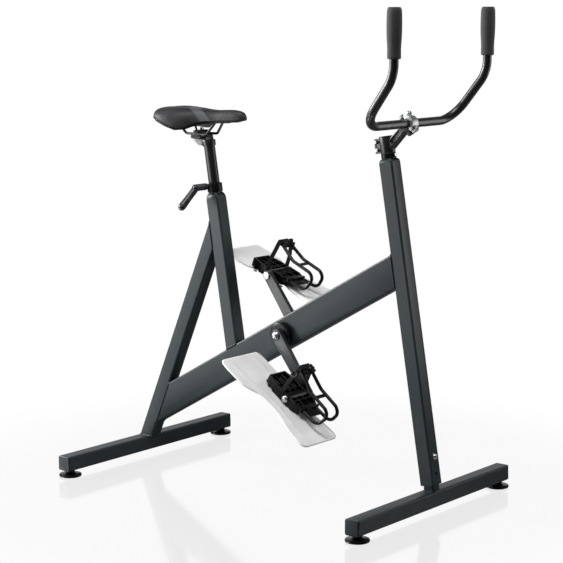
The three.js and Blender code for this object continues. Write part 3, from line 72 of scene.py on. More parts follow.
# Square tube frame: rear leg, seat tube, main beam and front post of thin steel tube,
# mitred and welded, then covered all over with a slate-grey powder coat.
class Wire:
    """A socket of a material's node tree. Sums written with it add Math nodes to the tree."""

    def __init__(self, tree, socket=None):
        self.tree = tree
        self.socket = socket

    def node(self, kind, settings=None, inputs=None, output=0):
        made = self.tree.nodes.new("ShaderNode" + kind)
        for key, value in (settings or {}).items():
            setattr(made, key, value)
        for key, value in (inputs or {}).items():
            if isinstance(value, Wire):
                self.tree.links.new(value.socket, made.inputs[key])
            else:
                made.inputs[key].default_value = value
        return Wire(self.tree, made.outputs[output])

    def sum(self, operation, first, second):
        return self.node("Math", {"operation": operation}, {0: first, 1: second})

    def __add__(self, other):
        return self.sum("ADD", self, other)

    def __radd__(self, other):
        return self.sum("ADD", other, self)

    def __sub__(self, other):
        return self.sum("SUBTRACT", self, other)

    def __rsub__(self, other):
        return self.sum("SUBTRACT", other, self)

    def __mul__(self, other):
        return self.sum("MULTIPLY", self, other)

    def __rmul__(self, other):
        return self.sum("MULTIPLY", other, self)

    def part(self, k):
        """One coordinate of a place or way: 0 ahead, 1 across, 2 up."""
        return self.node("SeparateXYZ", inputs={0: self}, output=k)

    def noise(self, scale, detail, rough=0.5):
        place = self.node("TexCoord", output="Object")
        inputs = {"Vector": place, "Scale": scale, "Detail": detail, "Roughness": rough}
        return self.node("TexNoise", inputs=inputs)

    def step(self, low, high):
        inputs = {"Value": self, "From Min": low, "From Max": high}
        return self.node("MapRange", {"interpolation_type": "SMOOTHSTEP"}, inputs)

    def blend(self, first, second):
        colours = [(*c, 1) if isinstance(c, tuple) else c for c in (first, second)]
        inputs = {0: self, 6: colours[0], 7: colours[1]}
        return self.node("Mix", {"data_type": "RGBA"}, inputs, output=2)

    def bump(self, distance):
        return self.node("Bump", inputs={"Height": self, "Distance": distance})


def finish(name, constants, build):
    """A material. What is the same all over it is set on the shader, the rest comes from build."""
    material = bpy.data.materials.new(name)
    material.use_nodes = True
    tree = material.node_tree
    shader = tree.nodes["Principled BSDF"]
    for key, value in constants.items():
        shader.inputs[key].default_value = value
    for key, wire in build(Wire(tree)).items():
        tree.links.new(wire.socket, shader.inputs[key])
    return material


def powder(w):
    cloud = w.noise(5, 4)
    grain = w.noise(900, 2)
    peel = w.noise(420, 2)
    colour = cloud.step(0.35, 0.65).blend((0.014, 0.021, 0.024), (0.019, 0.027, 0.030))
    speck = grain.step(0.62, 0.74).blend(colour, (0.042, 0.054, 0.059))
    return {
        "Base Color": speck,
        "Roughness": 0.36 + 0.1 * cloud + 0.08 * grain,
        "Normal": (peel + 0.4 * grain).bump(0.00012),
    }


slate = finish(
    "slate_powder_coat",
    {"Specular IOR Level": 0.25, "Coat Weight": 0.06, "Coat Roughness": 0.3},
    powder,
)


def welded(name):
    """The CAD solid of a node as a mesh of its own, with shared corners and whole faces."""
    mesh = nodes[name].data.copy()
    bm = bmesh.new()
    bm.from_mesh(mesh)
    bmesh.ops.remove_doubles(bm, verts=bm.verts, dist=2e-6)
    bmesh.ops.dissolve_limit(bm, angle_limit=math.radians(0.5), verts=bm.verts, edges=bm.edges)
    bm.to_mesh(mesh)
    bm.free()
    return mesh


def piece(name, mesh, body, slot, material, *stands_for):
    """A mesh becomes one piece on a body, with its finish and the solids it stands for."""
    obj = bpy.data.objects.new(name, mesh)
    bpy.context.scene.collection.objects.link(obj)
    mesh.materials.clear()
    mesh.materials.append(material)
    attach(obj, body)
    if stands_for:
        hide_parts(*stands_for)
    return obj


def smoothed(mesh, angle):
    """Smooth shading, broken at corners sharper than the angle."""
    for face in mesh.polygons:
        face.use_smooth = True
    mesh.set_sharp_from_angle(angle=math.radians(angle))
    return mesh


def applied(obj, angle):
    """The modifiers of a piece become mesh, so that it is kept as it is seen."""
    graph = bpy.context.evaluated_depsgraph_get()
    mesh = bpy.data.meshes.new_from_object(obj.evaluated_get(graph))
    obj.modifiers.clear()
    obj.data = smoothed(mesh, angle)
    return obj


def softened(node, body, slot, material, radius, segments, angle, suffix="finished"):
    """A copy of a CAD solid with its sharp edges broken, as any cut and cleaned part has."""
    obj = piece(f"{node}_{suffix}", welded(node), body, slot, material, node)
    bevel = obj.modifiers.new("edges", "BEVEL")
    bevel.width = radius
    bevel.segments = segments
    bevel.limit_method = "ANGLE"
    bevel.angle_limit = math.radians(angle)
    return applied(obj, 40)


roll_radius = 0.0034
rolled_length = 0.16


def rolled(node):
    """A copy of a square tube, whose long corners are rounded by the rolls that formed it."""
    mesh = welded(node)
    bm = bmesh.new()
    bm.from_mesh(mesh)
    weight = bm.edges.layers.float.new("bevel_weight_edge")
    for edge in bm.edges:
        if edge.is_manifold and edge.calc_face_angle() > 1 and edge.calc_length() > rolled_length:
            edge[weight] = 1.0
    bm.to_mesh(mesh)
    bm.free()
    obj = piece(f"{node}_rolled", mesh, "frame", "powder_coat", slate, node)
    bevel = obj.modifiers.new("corners", "BEVEL")
    bevel.width = roll_radius
    bevel.segments = 5
    bevel.limit_method = "WEIGHT"
    bevel.use_clamp_overlap = False
    applied(obj, 25)


for name in ("rear_leg", "seat_tube", "main_beam", "front_post"):
    rolled(name)


# Weld beads: where a tube meets the next one, a low fillet of weld metal runs round the joint,
# rippled by the hand that laid it, and the powder coat covers it too.
def skinned(bm, rings):
    """Faces from each ring of corners to the next one."""
    for low, high in zip(rings, rings[1:]):
        for k in range(len(low)):
            n = (k + 1) % len(low)
            bm.faces.new((low[k], low[n], high[n], high[k]))


def swept(points, radius, sides, closed=False, wobble=None):
    """A round rod along a line of points, with flat ends, or joined to itself."""
    mesh = bpy.data.meshes.new("rod")
    bm = bmesh.new()
    count = len(points)
    turn = None
    rings = []
    for i, point in enumerate(points):
        before = points[i - 1] if i or closed else point
        after = points[(i + 1) % count] if i + 1 < count or closed else point
        along = (after - before).normalized()
        if turn is None:
            turn = along.orthogonal().normalized()
        turn = (turn - along * turn.dot(along)).normalized()
        other = along.cross(turn)
        size = radius * (wobble[i] if wobble else 1)
        ring = []
        for k in range(sides):
            a = 2 * math.pi * k / sides
            ring.append(bm.verts.new(point + (turn * math.cos(a) + other * math.sin(a)) * size))
        rings.append(ring)
    skinned(bm, rings + rings[:1] if closed else rings)
    if not closed:
        bm.faces.new(list(reversed(rings[0])))
        bm.faces.new(rings[-1])
    bm.normal_update()
    bm.to_mesh(mesh)
    bm.free()
    return smoothed(mesh, 50)


rng = random.Random(7)


def weld_loop(name, origin, axis, height, width, plane_point, plane_normal, bead=0.0024):
    """A bead round the outline that a square tube leaves on a plane."""
    across = Vector((0, 1, 0))
    side = across.cross(axis).normalized()
    inset, ripple_step = 0.0035, 0.003
    corners = []
    for sx, sy in ((-1, -1), (1, -1), (1, 1), (-1, 1)):
        insets = [(0, inset), (inset, 0)] if sx * sy > 0 else [(inset, 0), (0, inset)]
        for ox, oy in insets:
            start = origin + side * sx * (height / 2 - ox) + across * sy * (width / 2 - oy)
            travel = (plane_point - start).dot(plane_normal) / axis.dot(plane_normal)
            corners.append(start + axis * travel)
    line = []
    for first, second in zip(corners, corners[1:] + corners[:1]):
        steps = max(2, round((second - first).length / ripple_step))
        line += [first.lerp(second, k / steps) for k in range(steps)]
    wobble = [1 + 0.16 * math.sin(i * 2.2) + rng.uniform(-0.08, 0.08) for i in range(len(line))]
    mesh = swept(line, bead, 8, closed=True, wobble=wobble)
    piece(name, mesh, "frame", "powder_coat", slate)


middle_ahead = 0.480430
base_span = 0.957
bar_top = 0.058
tube_side = 0.040
beam_height = 0.080
leg_lean = math.radians(22.8)
post_lean = math.radians(9.65)
seat_lean = math.radians(9.5)
beam_rise = math.radians(29.56)
leg_foot_ahead = 0.006
post_foot_ahead = 0.002
beam_root_height = 0.1203
seat_tube_ahead = 0.3287
spigot_side = 0.030
leg_axis = Vector((math.sin(leg_lean), 0, math.cos(leg_lean)))
post_axis = Vector((-math.sin(post_lean), 0, math.cos(post_lean)))
seat_axis = Vector((-math.sin(seat_lean), 0, math.cos(seat_lean)))
beam_axis = Vector((math.cos(beam_rise), 0, math.sin(beam_rise)))
leg_foot = Vector((leg_foot_ahead - middle_ahead, 0, bar_top))
post_foot = Vector((base_span + post_foot_ahead - middle_ahead, 0, bar_top))
beam_root = Vector((-middle_ahead, 0, beam_root_height))
seat_root = beam_root + beam_axis * (seat_tube_ahead / beam_axis.x)
up = Vector((0, 0, 1))
seat_face = Vector((0, 1, 0)).cross(seat_axis)
leg_face = Vector((0, 1, 0)).cross(leg_axis)
post_face = Vector((0, 1, 0)).cross(post_axis)
beam_face = Vector((0, 1, 0)).cross(beam_axis)
half_side = tube_side / 2
seat_rear = seat_root - seat_face * half_side
beam_over = beam_root - beam_face * beam_height / 2
leg_front = leg_foot + leg_face * half_side
post_rear = post_foot - post_face * half_side
weld_loop("weld_leg_foot", leg_foot, leg_axis, tube_side, tube_side, leg_foot, up)
weld_loop("weld_leg_top", leg_foot, leg_axis, tube_side, tube_side, seat_rear, seat_face)
weld_loop("weld_seat_tube_foot", seat_root, seat_axis, tube_side, tube_side, beam_over, beam_face)
weld_loop("weld_beam_rear", beam_root, beam_axis, beam_height, tube_side, leg_front, leg_face)
weld_loop("weld_beam_front", beam_root, beam_axis, beam_height, tube_side, post_rear, post_face)
weld_loop("weld_spigot", post_foot, post_axis, spigot_side, spigot_side, post_foot, up, 0.0022)


# Base bars: two cross tubes that the frame stands on. The front one carries the spigot that the
# post slides over, with a bolt that locks the height and a spare hole below it.
for name in ("rear_base_bar", "front_base_bar"):
    rolled(name)


# End caps: slate-coloured nylon plugs with a low crown and a flange, pressed into the open ends
# of the base bars. They have the same mould grain as the black nylon pieces.
def moulding(w):
    grain = w.noise(700, 2)
    cloud = w.noise(14, 3)
    colour = cloud.step(0.3, 0.7).blend((0.0022, 0.0024, 0.0027), (0.0042, 0.0044, 0.0048))
    return {
        "Base Color": colour,
        "Roughness": 0.2 + 0.12 * grain + 0.06 * cloud,
        "Normal": grain.bump(0.00012),
    }


nylon = finish("black_nylon", {"Specular IOR Level": 0.22}, moulding)


def cap_moulding(w):
    cloud = w.noise(14, 3)
    grain = w.noise(700, 2)
    return {
        "Base Color": cloud.step(0.3, 0.7).blend((0.013, 0.018, 0.021), (0.019, 0.025, 0.028)),
        "Roughness": 0.34 + 0.12 * grain,
        "Normal": grain.bump(0.00012),
    }


cap_nylon = finish("cap_nylon", {"Specular IOR Level": 0.3}, cap_moulding)
for end in ("rear", "front"):
    for hand in ("right", "left"):
        softened(f"end_cap_{end}_{hand}", "frame", "black_plastic", cap_nylon, 0.0016, 3, 20)


# Levelling feet: a moulded pad on a threaded stud that screws up into the base bar. The rim is
# fluted for the fingers.
def closed_up(bm, name, place=Matrix.Identity(4)):
    """Puts a mesh under way in its place, turns its faces outward and ends it."""
    bm.transform(place)
    bmesh.ops.recalc_face_normals(bm, faces=bm.faces)
    mesh = bpy.data.meshes.new(name)
    bm.to_mesh(mesh)
    bm.free()
    return mesh


def turned(profile, segments, place, flutes=0, depth=0.0):
    """A lathe-turned solid from its outline (radius, height), stood along local Z."""
    rim = max(radius for radius, height in profile)
    bm = bmesh.new()
    rings = []
    for radius, height in profile:
        if radius < 1e-7:
            rings.append([bm.verts.new((0, 0, height))])
            continue
        ring = []
        for k in range(segments):
            a = 2 * math.pi * k / segments
            size = radius - (depth * max(0.0, math.cos(flutes * a)) if radius == rim else 0)
            ring.append(bm.verts.new((size * math.cos(a), size * math.sin(a), height)))
        rings.append(ring)
    for low, high in zip(rings, rings[1:]):
        for k in range(segments):
            n = (k + 1) % segments
            loop = [low[k % len(low)], low[n % len(low)], high[n % len(high)], high[k % len(high)]]
            loop = list(dict.fromkeys(loop))
            if len(loop) > 2:
                bm.faces.new(loop)
    return smoothed(closed_up(bm, "turned", place), 32)


foot_across = 0.3105
foot_flutes = 24
flute_depth = 0.0007
foot_profile = [
    (0, 0), (0.0270, 0), (0.0290, 0.0008), (0.0300, 0.0022), (0.0300, 0.0052), (0.0293, 0.0068),
    (0.0272, 0.0076), (0.0180, 0.0082), (0.0136, 0.0092), (0.0121, 0.0106), (0.0120, 0.0172),
    (0.0115, 0.0177), (0.0050, 0.0177), (0.0050, 0.0475), (0, 0.0477),
]
for end, ahead in (("rear", -middle_ahead), ("front", base_span - middle_ahead)):
    for hand, side in (("right", -1), ("left", 1)):
        name = f"foot_{end}_{hand}"
        spot = Matrix.Translation((ahead, side * foot_across, 0))
        mesh = turned(foot_profile, 96, spot, foot_flutes, flute_depth)
        piece(f"{name}_moulded", mesh, name, "black_plastic", nylon, name)


# Lock bolt: a plated dome-head bolt with a washer, through the front face of the post into the
# spigot. It holds the post down on the base bar.
def plating(w):
    smear = w.noise(60, 4)
    return {
        "Base Color": smear.step(0.3, 0.7).blend((0.50, 0.51, 0.52), (0.64, 0.65, 0.66)),
        "Roughness": 0.2 + 0.12 * smear,
    }


plated = finish("bright_plating", {"Metallic": 1.0}, plating)


def facing(origin, axis):
    """Local Z along the axis, local Y kept as near as it can be to the bike's Y."""
    z = axis.normalized()
    y = Vector((0, 1, 0)) if abs(z.y) < 0.9 else Vector((0, 0, 1))
    x = y.cross(z).normalized()
    return Matrix.Translation(origin) @ Matrix((x, z.cross(x), z)).transposed().to_4x4()


lock_height = 0.142
lock_place = post_foot + post_axis * ((lock_height - post_foot.z) / post_axis.z)
dome_bolt = [
    (0, -0.024), (0.004, -0.024), (0.004, 0.0003), (0.0085, 0.0003), (0.0085, 0.0014),
    (0.0066, 0.0014), (0.0066, 0.0030), (0.0060, 0.0046), (0.0048, 0.0057), (0.0031, 0.0063),
    (0.0030, 0.0040), (0, 0.0040),
]
mesh = turned(dome_bolt, 36, facing(lock_place + post_face * half_side, post_face))
piece("post_lock_bolt_head", mesh, "frame", "chrome", plated, "post_lock_bolt")


# Bearing cups: flanged shields of black nylon, pressed into the crank shell on each side of the
# beam. The two ball bearings inside them are bright steel.
crank_centre = Vector(joints["crank_spin"]["pos_m"])
cup_profile = [
    (0.0100, 0.0203), (0.0320, 0.0203), (0.0320, 0.0322), (0.0312, 0.0340), (0.0292, 0.0352),
    (0.0240, 0.0355), (0.0232, 0.0345), (0.0180, 0.0345), (0.0172, 0.0355), (0.0104, 0.0355),
    (0.0100, 0.0203),
]
for hand, side in (("right", -1), ("left", 1)):
    mesh = turned(cup_profile, 64, facing(crank_centre, Vector((0, side, 0))))
    piece(f"crank_cup_{hand}_turned", mesh, "frame", "black_plastic", nylon, f"crank_cup_{hand}")


def refinished(node, material):
    """A CAD solid that is shown as it is, in another finish."""
    nodes[node].data.materials.clear()
    nodes[node].data.materials.append(material)


for hand in ("right", "left"):
    refinished(f"crank_bearing_{hand}", plated)


# Crank arms: forged aluminium, painted mid grey, with every edge rounded by the forging die. They
# stand half a turn apart on the squared ends of a steel axle.
def forging(w):
    cloud = w.noise(22, 4)
    grain = w.noise(800, 2)
    return {
        "Base Color": cloud.step(0.3, 0.7).blend((0.026, 0.028, 0.030), (0.040, 0.042, 0.045)),
        "Roughness": 0.34 + 0.16 * cloud,
        "Normal": (grain + 0.6 * cloud).bump(0.0001),
    }


forged_grey = finish(
    "forged_grey", {"Metallic": 0.35, "Coat Weight": 0.2, "Coat Roughness": 0.25}, forging,
)
for hand in ("right", "left"):
    softened(f"crank_arm_{hand}", "crankset", "crank_grey", forged_grey, 0.0022, 4, 30, "forged")
refinished("crank_axle", plated)


# Crank nuts and pedal spindles: plated steel. A dome nut closes each end of the axle, over a
# dark washer in the eye of the arm.
nut_profile = [
    (0, 0.0496), (0.0108, 0.0496), (0.0110, 0.0501), (0.0110, 0.0518), (0.0104, 0.0526),
    (0.0098, 0.0529), (0.0090, 0.0544), (0.0074, 0.0561), (0.0052, 0.0574), (0.0026, 0.0581),
    (0, 0.0583),
]
ring_profile = [
    (0.0108, 0.0494), (0.0134, 0.0494), (0.0134, 0.0503), (0.0126, 0.0508), (0.0114, 0.0508),
    (0.0108, 0.0494),
]
for hand, side in (("right", -1), ("left", 1)):
    outward = Vector((0, side, 0))
    mesh = turned(nut_profile, 48, facing(crank_centre, outward))
    piece(f"crank_nut_{hand}_domed", mesh, "crankset", "chrome", plated, f"crank_nut_{hand}")
    mesh = turned(ring_profile, 48, facing(crank_centre, outward))
    piece(f"crank_washer_{hand}", mesh, "crankset", "black_plastic", nylon)
    softened(f"pedal_spindle_{hand}", "crankset", "chrome", plated, 0.0006, 2, 35)


# Pedals: wide black nylon platforms on the spindles, moulded in one with their ribs, the barrel
# and the bosses of the paddle, with a chromed cap over the outer end of the barrel.
pedal_pitch = {"right": math.radians(35), "left": math.radians(21)}


def pedal_place(hand):
    """Local X to the toes, local Y out from the bike, local Z up from the sole."""
    side = -1 if hand == "right" else 1
    centre = Vector(joints[f"pedal_{hand}_spin"]["pos_m"])
    turn = Matrix.Rotation(pedal_pitch[hand], 4, "Y")
    return Matrix.Translation(centre) @ turn @ Matrix.Diagonal((1, side, 1, 1))


def box_at(bm, low, high):
    """A plain block in a mesh under way; its edges are broken later."""
    low, high = Vector(low), Vector(high)
    made = bmesh.ops.create_cube(bm, size=1)["verts"]
    for vert in made:
        vert.co = Vector((a + (b - a) * (c + 0.5) for a, b, c in zip(low, high, vert.co)))


def cylinder(bm, segments, radius, length):
    """A plain cylinder in a mesh under way, along Z."""
    return bmesh.ops.create_cone(
        bm, cap_ends=True, segments=segments, radius1=radius, radius2=radius, depth=length,
    )["verts"]


def fuse(obj, voxel, rounds, keep, fuller=0.0):
    """Joins what a piece is built of, and rounds its edges and corners as a mould does."""
    skin = obj.modifiers.new("skin", "REMESH")
    skin.mode = "VOXEL"
    skin.voxel_size = voxel
    if fuller:
        swell = obj.modifiers.new("swell", "DISPLACE")
        swell.mid_level = 0.0
        swell.strength = fuller
    obj.modifiers.new("soften", "SMOOTH").iterations = rounds
    obj.modifiers.new("thin", "DECIMATE").ratio = keep
    return applied(obj, 60)


cap_profile = [
    (0, 0.0393), (0.0092, 0.0393), (0.0095, 0.0398), (0.0095, 0.0418), (0.0089, 0.0436),
    (0.0074, 0.0451), (0.0050, 0.0460), (0.0024, 0.0463), (0, 0.0463),
]
collar_profile = [
    (0.0101, 0.0394), (0.0116, 0.0394), (0.0119, 0.0400), (0.0116, 0.0432), (0.0101, 0.0432),
    (0.0101, 0.0394),
]
wall_thick = 0.0050
wall_top = 0.012
boss_radius = 0.0065
boss_length = 0.014
barrel_radius = 0.013
barrel_length = 0.078
cage_voxel = 0.0009
cage_low = -0.011
cage_low_sides = -0.014
pedal_outline = [
    (-0.078, -0.031), (-0.046, -0.039), (0.032, -0.039), (0.048, -0.031),
    (0.048, 0.031), (0.032, 0.039), (-0.046, 0.039), (-0.078, 0.031),
]
pedal_blocks = [
    ((-0.0745, -0.0355, -0.0030), (-0.0100, 0.0355, 0.0005)),
    ((0.0100, -0.0355, -0.0030), (0.0450, 0.0355, 0.0005)),
    ((-0.0740, -0.0130, -0.0020), (-0.0120, -0.0102, 0.0095)),
    ((-0.0740, 0.0102, -0.0020), (-0.0120, 0.0130, 0.0095)),
    ((-0.0460, -0.0350, -0.0020), (-0.0432, 0.0350, 0.0085)),
    ((0.0120, -0.0130, -0.0020), (0.0450, -0.0102, 0.0095)),
    ((0.0120, 0.0102, -0.0020), (0.0450, 0.0130, 0.0095)),
    ((-0.0220, -0.0350, -0.0020), (-0.0190, 0.0350, 0.0105)),
    ((0.0190, -0.0350, -0.0020), (0.0220, 0.0350, 0.0105)),
]
boss_spots = [(0.032, -0.030), (0.032, 0.030), (-0.062, -0.030), (-0.062, 0.030)]
for hand in ("right", "left"):
    body = f"pedal_{hand}"
    place = pedal_place(hand)
    mesh = bpy.data.meshes.new("pedal_cage")
    bm = bmesh.new()
    for i, (ahead, across) in enumerate(pedal_outline):
        next_ahead, next_across = pedal_outline[(i + 1) % len(pedal_outline)]
        low = cage_low_sides if i in (1, 5) else cage_low
        walls = []
        for x, y in ((ahead, across), (next_ahead, next_across)):
            inner = Vector((x, y)) * Vector((1 - wall_thick / abs(x), 1 - wall_thick / abs(y)))
            section = (x, y, low), (x, y, wall_top), (*inner, wall_top), (*inner, low)
            walls.append([bm.verts.new(corner) for corner in section])
        for k in range(4):
            n = (k + 1) % 4
            bm.faces.new((walls[0][k], walls[0][n], walls[1][n], walls[1][k]))
        bm.faces.new(walls[0])
        bm.faces.new(walls[1])
    for low, high in pedal_blocks:
        box_at(bm, low, high)
    for ahead, across in boss_spots:
        made = cylinder(bm, 24, boss_radius, boss_length)
        bmesh.ops.translate(bm, vec=(ahead, across, -boss_length / 2), verts=made)
    made = cylinder(bm, 48, barrel_radius, barrel_length)
    bmesh.ops.rotate(bm, matrix=Matrix.Rotation(math.pi / 2, 3, "X"), verts=made)
    bmesh.ops.recalc_face_normals(bm, faces=bm.faces)
    bm.transform(place)
    if place.determinant() < 0:
        bmesh.ops.reverse_faces(bm, faces=bm.faces)
    bm.to_mesh(mesh)
    bm.free()
    node = f"pedal_body_{hand}"
    obj = piece(f"{node}_moulded", mesh, body, "black_plastic", nylon, node)
    fuse(obj, cage_voxel, 3, 0.35)
    mesh = turned(cap_profile, 40, place @ Matrix.Rotation(-math.pi / 2, 4, "X"))
    piece(f"pedal_cap_{hand}_domed", mesh, body, "chrome", plated, f"pedal_cap_{hand}")
    mesh = turned(collar_profile, 40, place @ Matrix.Rotation(math.pi / 2, 4, "X"))
    piece(f"pedal_dust_collar_{hand}", mesh, body, "black_plastic", nylon)


# Toe clips: two bent nylon rods on a foot that is screwed to the pedal, joined over the toes by a
# bridge and over the instep by a plate with lugs that guide the strap.
def filleted(corners, radii, steps=10):
    """A line through corners that are rounded to the radii given."""
    points = [corners[0].copy()]
    for i, radius in enumerate(radii):
        corner = corners[i + 1]
        to_back = (corners[i] - corner).normalized()
        to_on = (corners[i + 2] - corner).normalized()
        half = to_back.angle(to_on) / 2
        start = corner + to_back * (radius / math.tan(half))
        centre = corner + (to_back + to_on).normalized() * (radius / math.sin(half))
        spoke = start - centre
        for k in range(steps + 1):
            a = (math.pi - 2 * half) * k / steps
            points.append(centre + spoke * math.cos(a) - to_back * radius * math.sin(a))
    points.append(corners[-1].copy())
    return points


clip_line = [
    (0.0518, 0.027, 0.0048), (0.108, 0.027, 0.0048), (0.119, 0.022, 0.044), (0.101, 0.022, 0.054),
    (0.041, 0.022, 0.058), (-0.010, 0.017, 0.081),
]
clip_blocks = [
    ((0.0484, -0.036, -0.0022), (0.0553, 0.036, 0.0118)),
    ((0.0484, -0.027, 0.0028), (0.0783, 0.027, 0.0068)),
    ((0.0560, -0.022, 0.0539), (0.0660, 0.022, 0.0581)),
    ((-0.0220, -0.0213, 0.0770), (0.0020, 0.0213, 0.0848)),
    ((-0.0080, -0.0200, 0.0835), (0.0030, 0.0200, 0.0895)),
    ((-0.0262, -0.0200, 0.0775), (-0.0234, 0.0200, 0.0890)),
    ((-0.0045, -0.0065, 0.0840), (0.0030, 0.0065, 0.1010)),
]
clip_bends = [0.0225, 0.018, 0.0135, 0.036]
clip_rod_radius = 0.0045
clip_edge = 0.0014
screw_ahead = 0.0553
screw_across = 0.014
screw_height = 0.0098
screw_profile = [
    (0, 0), (0.0032, 0), (0.0032, 0.0008), (0.0026, 0.0017), (0.0012, 0.0021), (0.0012, 0.0010),
    (0, 0.0010),
]
for hand in ("right", "left"):
    body = f"pedal_{hand}"
    place = pedal_place(hand)
    node = f"toe_clip_{hand}"
    bm = bmesh.new()
    for low, high in clip_blocks:
        box_at(bm, low, high)
    mesh = closed_up(bm, f"{node}_plates", place)
    obj = piece(f"{node}_plates", mesh, body, "black_plastic", nylon, node)
    bevel = obj.modifiers.new("edges", "BEVEL")
    bevel.width = clip_edge
    bevel.segments = 2
    applied(obj, 40)
    for k, side in enumerate((-1, 1)):
        line = [place @ Vector((x, side * y, z)) for x, y, z in clip_line]
        mesh = swept(filleted(line, clip_bends, 12), clip_rod_radius, 24)
        piece(f"{node}_rod_{k + 1}", mesh, body, "black_plastic", nylon)
    for k, across in enumerate((-screw_across, screw_across)):
        spot = Matrix.Translation((screw_ahead, across, screw_height))
        mesh = turned(screw_profile, 24, place @ spot @ Matrix.Rotation(math.pi / 2, 4, "Y"))
        piece(f"toe_clip_screw_{hand}_{k + 1}", mesh, body, "black_plastic", nylon)


# Toe straps: woven nylon webbing from one side of the pedal over the clip to the other, closed
# by a sprung steel buckle on the outside.
def weave(w):
    place = w.node("TexCoord", output="Object")
    along = w.node("TexWave", {"bands_direction": "X"}, {"Vector": place, "Scale": 260.0})
    cross = w.node("TexWave", {"bands_direction": "Z"}, {"Vector": place, "Scale": 190.0})
    cloth = along * cross
    return {
        "Base Color": cloth.blend((0.003, 0.0032, 0.0036), (0.010, 0.0104, 0.0115)),
        "Roughness": 0.72 + 0.18 * cloth,
        "Normal": cloth.bump(0.0003),
    }


def blacking(w):
    smear = w.noise(90, 4)
    return {
        "Base Color": smear.step(0.3, 0.7).blend((0.012, 0.012, 0.013), (0.030, 0.030, 0.031)),
        "Roughness": 0.3 + 0.15 * smear,
    }


blackened = finish("blackened_steel", {"Metallic": 0.8}, blacking)
webbing = finish("woven_webbing", {"Specular IOR Level": 0.2}, weave)
for hand in ("right", "left"):
    body = f"pedal_{hand}"
    softened(f"toe_strap_{hand}", body, "webbing", webbing, 0.0006, 2, 30, "woven")
    softened(f"strap_buckle_{hand}", body, "steel", blackened, 0.0006, 2, 30, "pressed")


# Water paddles: long milky polypropylene blades under the pedals, waisted in the middle, held by
# a bolt at each boss. They let a little light through.
def milky(w):
    cloud = w.noise(18, 3)
    grain = w.noise(500, 2)
    return {
        "Base Color": cloud.step(0.3, 0.7).blend((0.83, 0.83, 0.82), (0.90, 0.90, 0.89)),
        "Roughness": 0.38 + 0.12 * cloud,
        "Normal": (grain + cloud).bump(0.00015),
    }


let_through = {"Subsurface Weight": 0.25, "Subsurface Radius": [0.012] * 3, "Subsurface Scale": 0.6}
milk = finish("milky_polypropylene", let_through, milky)


def eased(table, share):
    """A smooth line through a table of (share, value), read at a share."""
    i = max(k for k in range(len(table) - 1) if table[k][0] <= share or k == 0)
    (x1, y1), (x2, y2) = table[i], table[i + 1]
    before, after = table[max(i - 1, 0)], table[min(i + 2, len(table) - 1)]
    t = (share - x1) / (x2 - x1)
    m1 = (y2 - before[1]) / (x2 - before[0]) * (x2 - x1)
    m2 = (after[1] - y1) / (after[0] - x1) * (x2 - x1)
    t2, t3 = t * t, t * t * t
    held = (2 * t3 - 3 * t2 + 1) * y1 + (-2 * t3 + 3 * t2) * y2
    return held + (t3 - 2 * t2 + t) * m1 + (t3 - t2) * m2


paddle_widths = [
    (0, 0.84), (0.012, 0.92), (0.04, 0.98), (0.1, 1), (0.2, 0.99), (0.29, 0.94), (0.35, 0.8),
    (0.39, 0.68), (0.45, 0.65), (0.55, 0.65), (0.66, 0.7), (0.72, 0.79), (0.78, 0.86),
    (0.87, 0.91), (0.95, 0.92), (0.985, 0.86), (1, 0.74),
]
paddle_length = 0.328
paddle_half = 0.077
paddle_thick = 0.005
paddle_rear = -0.180
paddle_level = -0.017
paddle_round = 0.0025
end_curl = 0.001
rib_share = 0.585
rib_rise = 0.0007
rib_start, rib_end = 0.06, 0.95
pedal_out = 0.101
paddle_inner = 0.059
width_shares = [
    -1, -0.985, -0.955, -0.8, -0.62, -0.585, -0.55, -0.3, 0, 0.3, 0.55, 0.585, 0.62, 0.8, 0.955,
    0.985, 1,
]
stations = [0, 0.004, 0.012, 0.024] + [0.04 + 0.92 * k / 44 for k in range(45)]
stations += [0.976, 0.988, 0.996, 1]
bolt_head = [
    (0, -0.0020), (0.0040, -0.0020), (0.0058, -0.0017), (0.0062, -0.0012), (0.0062, -0.0002),
    (0, -0.0002),
]
bolt_level = -0.0193
for hand in ("right", "left"):
    body = f"pedal_{hand}"
    place = pedal_place(hand)
    bm = bmesh.new()
    rings = []
    middle = paddle_inner + paddle_half - pedal_out
    for share in stations:
        width = eased(paddle_widths, share) * paddle_half
        ahead = share * paddle_length + paddle_rear
        lift = paddle_level + end_curl * (2 * share - 1) ** 4
        end = min(1.0, min(share, 1 - share) * paddle_length / paddle_round)
        thick = paddle_thick / 2 * math.sqrt(max(0.12, 1 - (1 - end) ** 2))
        top = []
        for c in width_shares:
            across = c * width
            edge = min(1.0, (width - abs(across)) / paddle_round)
            ribbed = abs(abs(c) - rib_share) < 0.001 and rib_start < share < rib_end
            rise = thick * math.sqrt(max(0.0, 1 - (1 - edge) ** 2))
            top.append((across, rise + (rib_rise if ribbed else 0.0)))
        ring = [bm.verts.new((ahead, middle + a, lift + t)) for a, t in top]
        for a, t in reversed(top[1:-1]):
            ring.append(bm.verts.new((ahead, middle + a, lift - min(t, thick))))
        rings.append(ring)
    skinned(bm, rings)
    bm.faces.new(rings[0])
    bm.faces.new(rings[-1])
    mesh = smoothed(closed_up(bm, "paddle", place), 50)
    node = f"water_paddle_{hand}"
    piece(f"{node}_moulded", mesh, body, "paddle_milk", milk, node)
    for k, (ahead, across) in enumerate(boss_spots):
        mesh = turned(bolt_head, 28, place @ Matrix.Translation((ahead, -across, bolt_level)))
        piece(f"paddle_screw_{hand}_{k + 1}", mesh, body, "paddle_milk", milk)


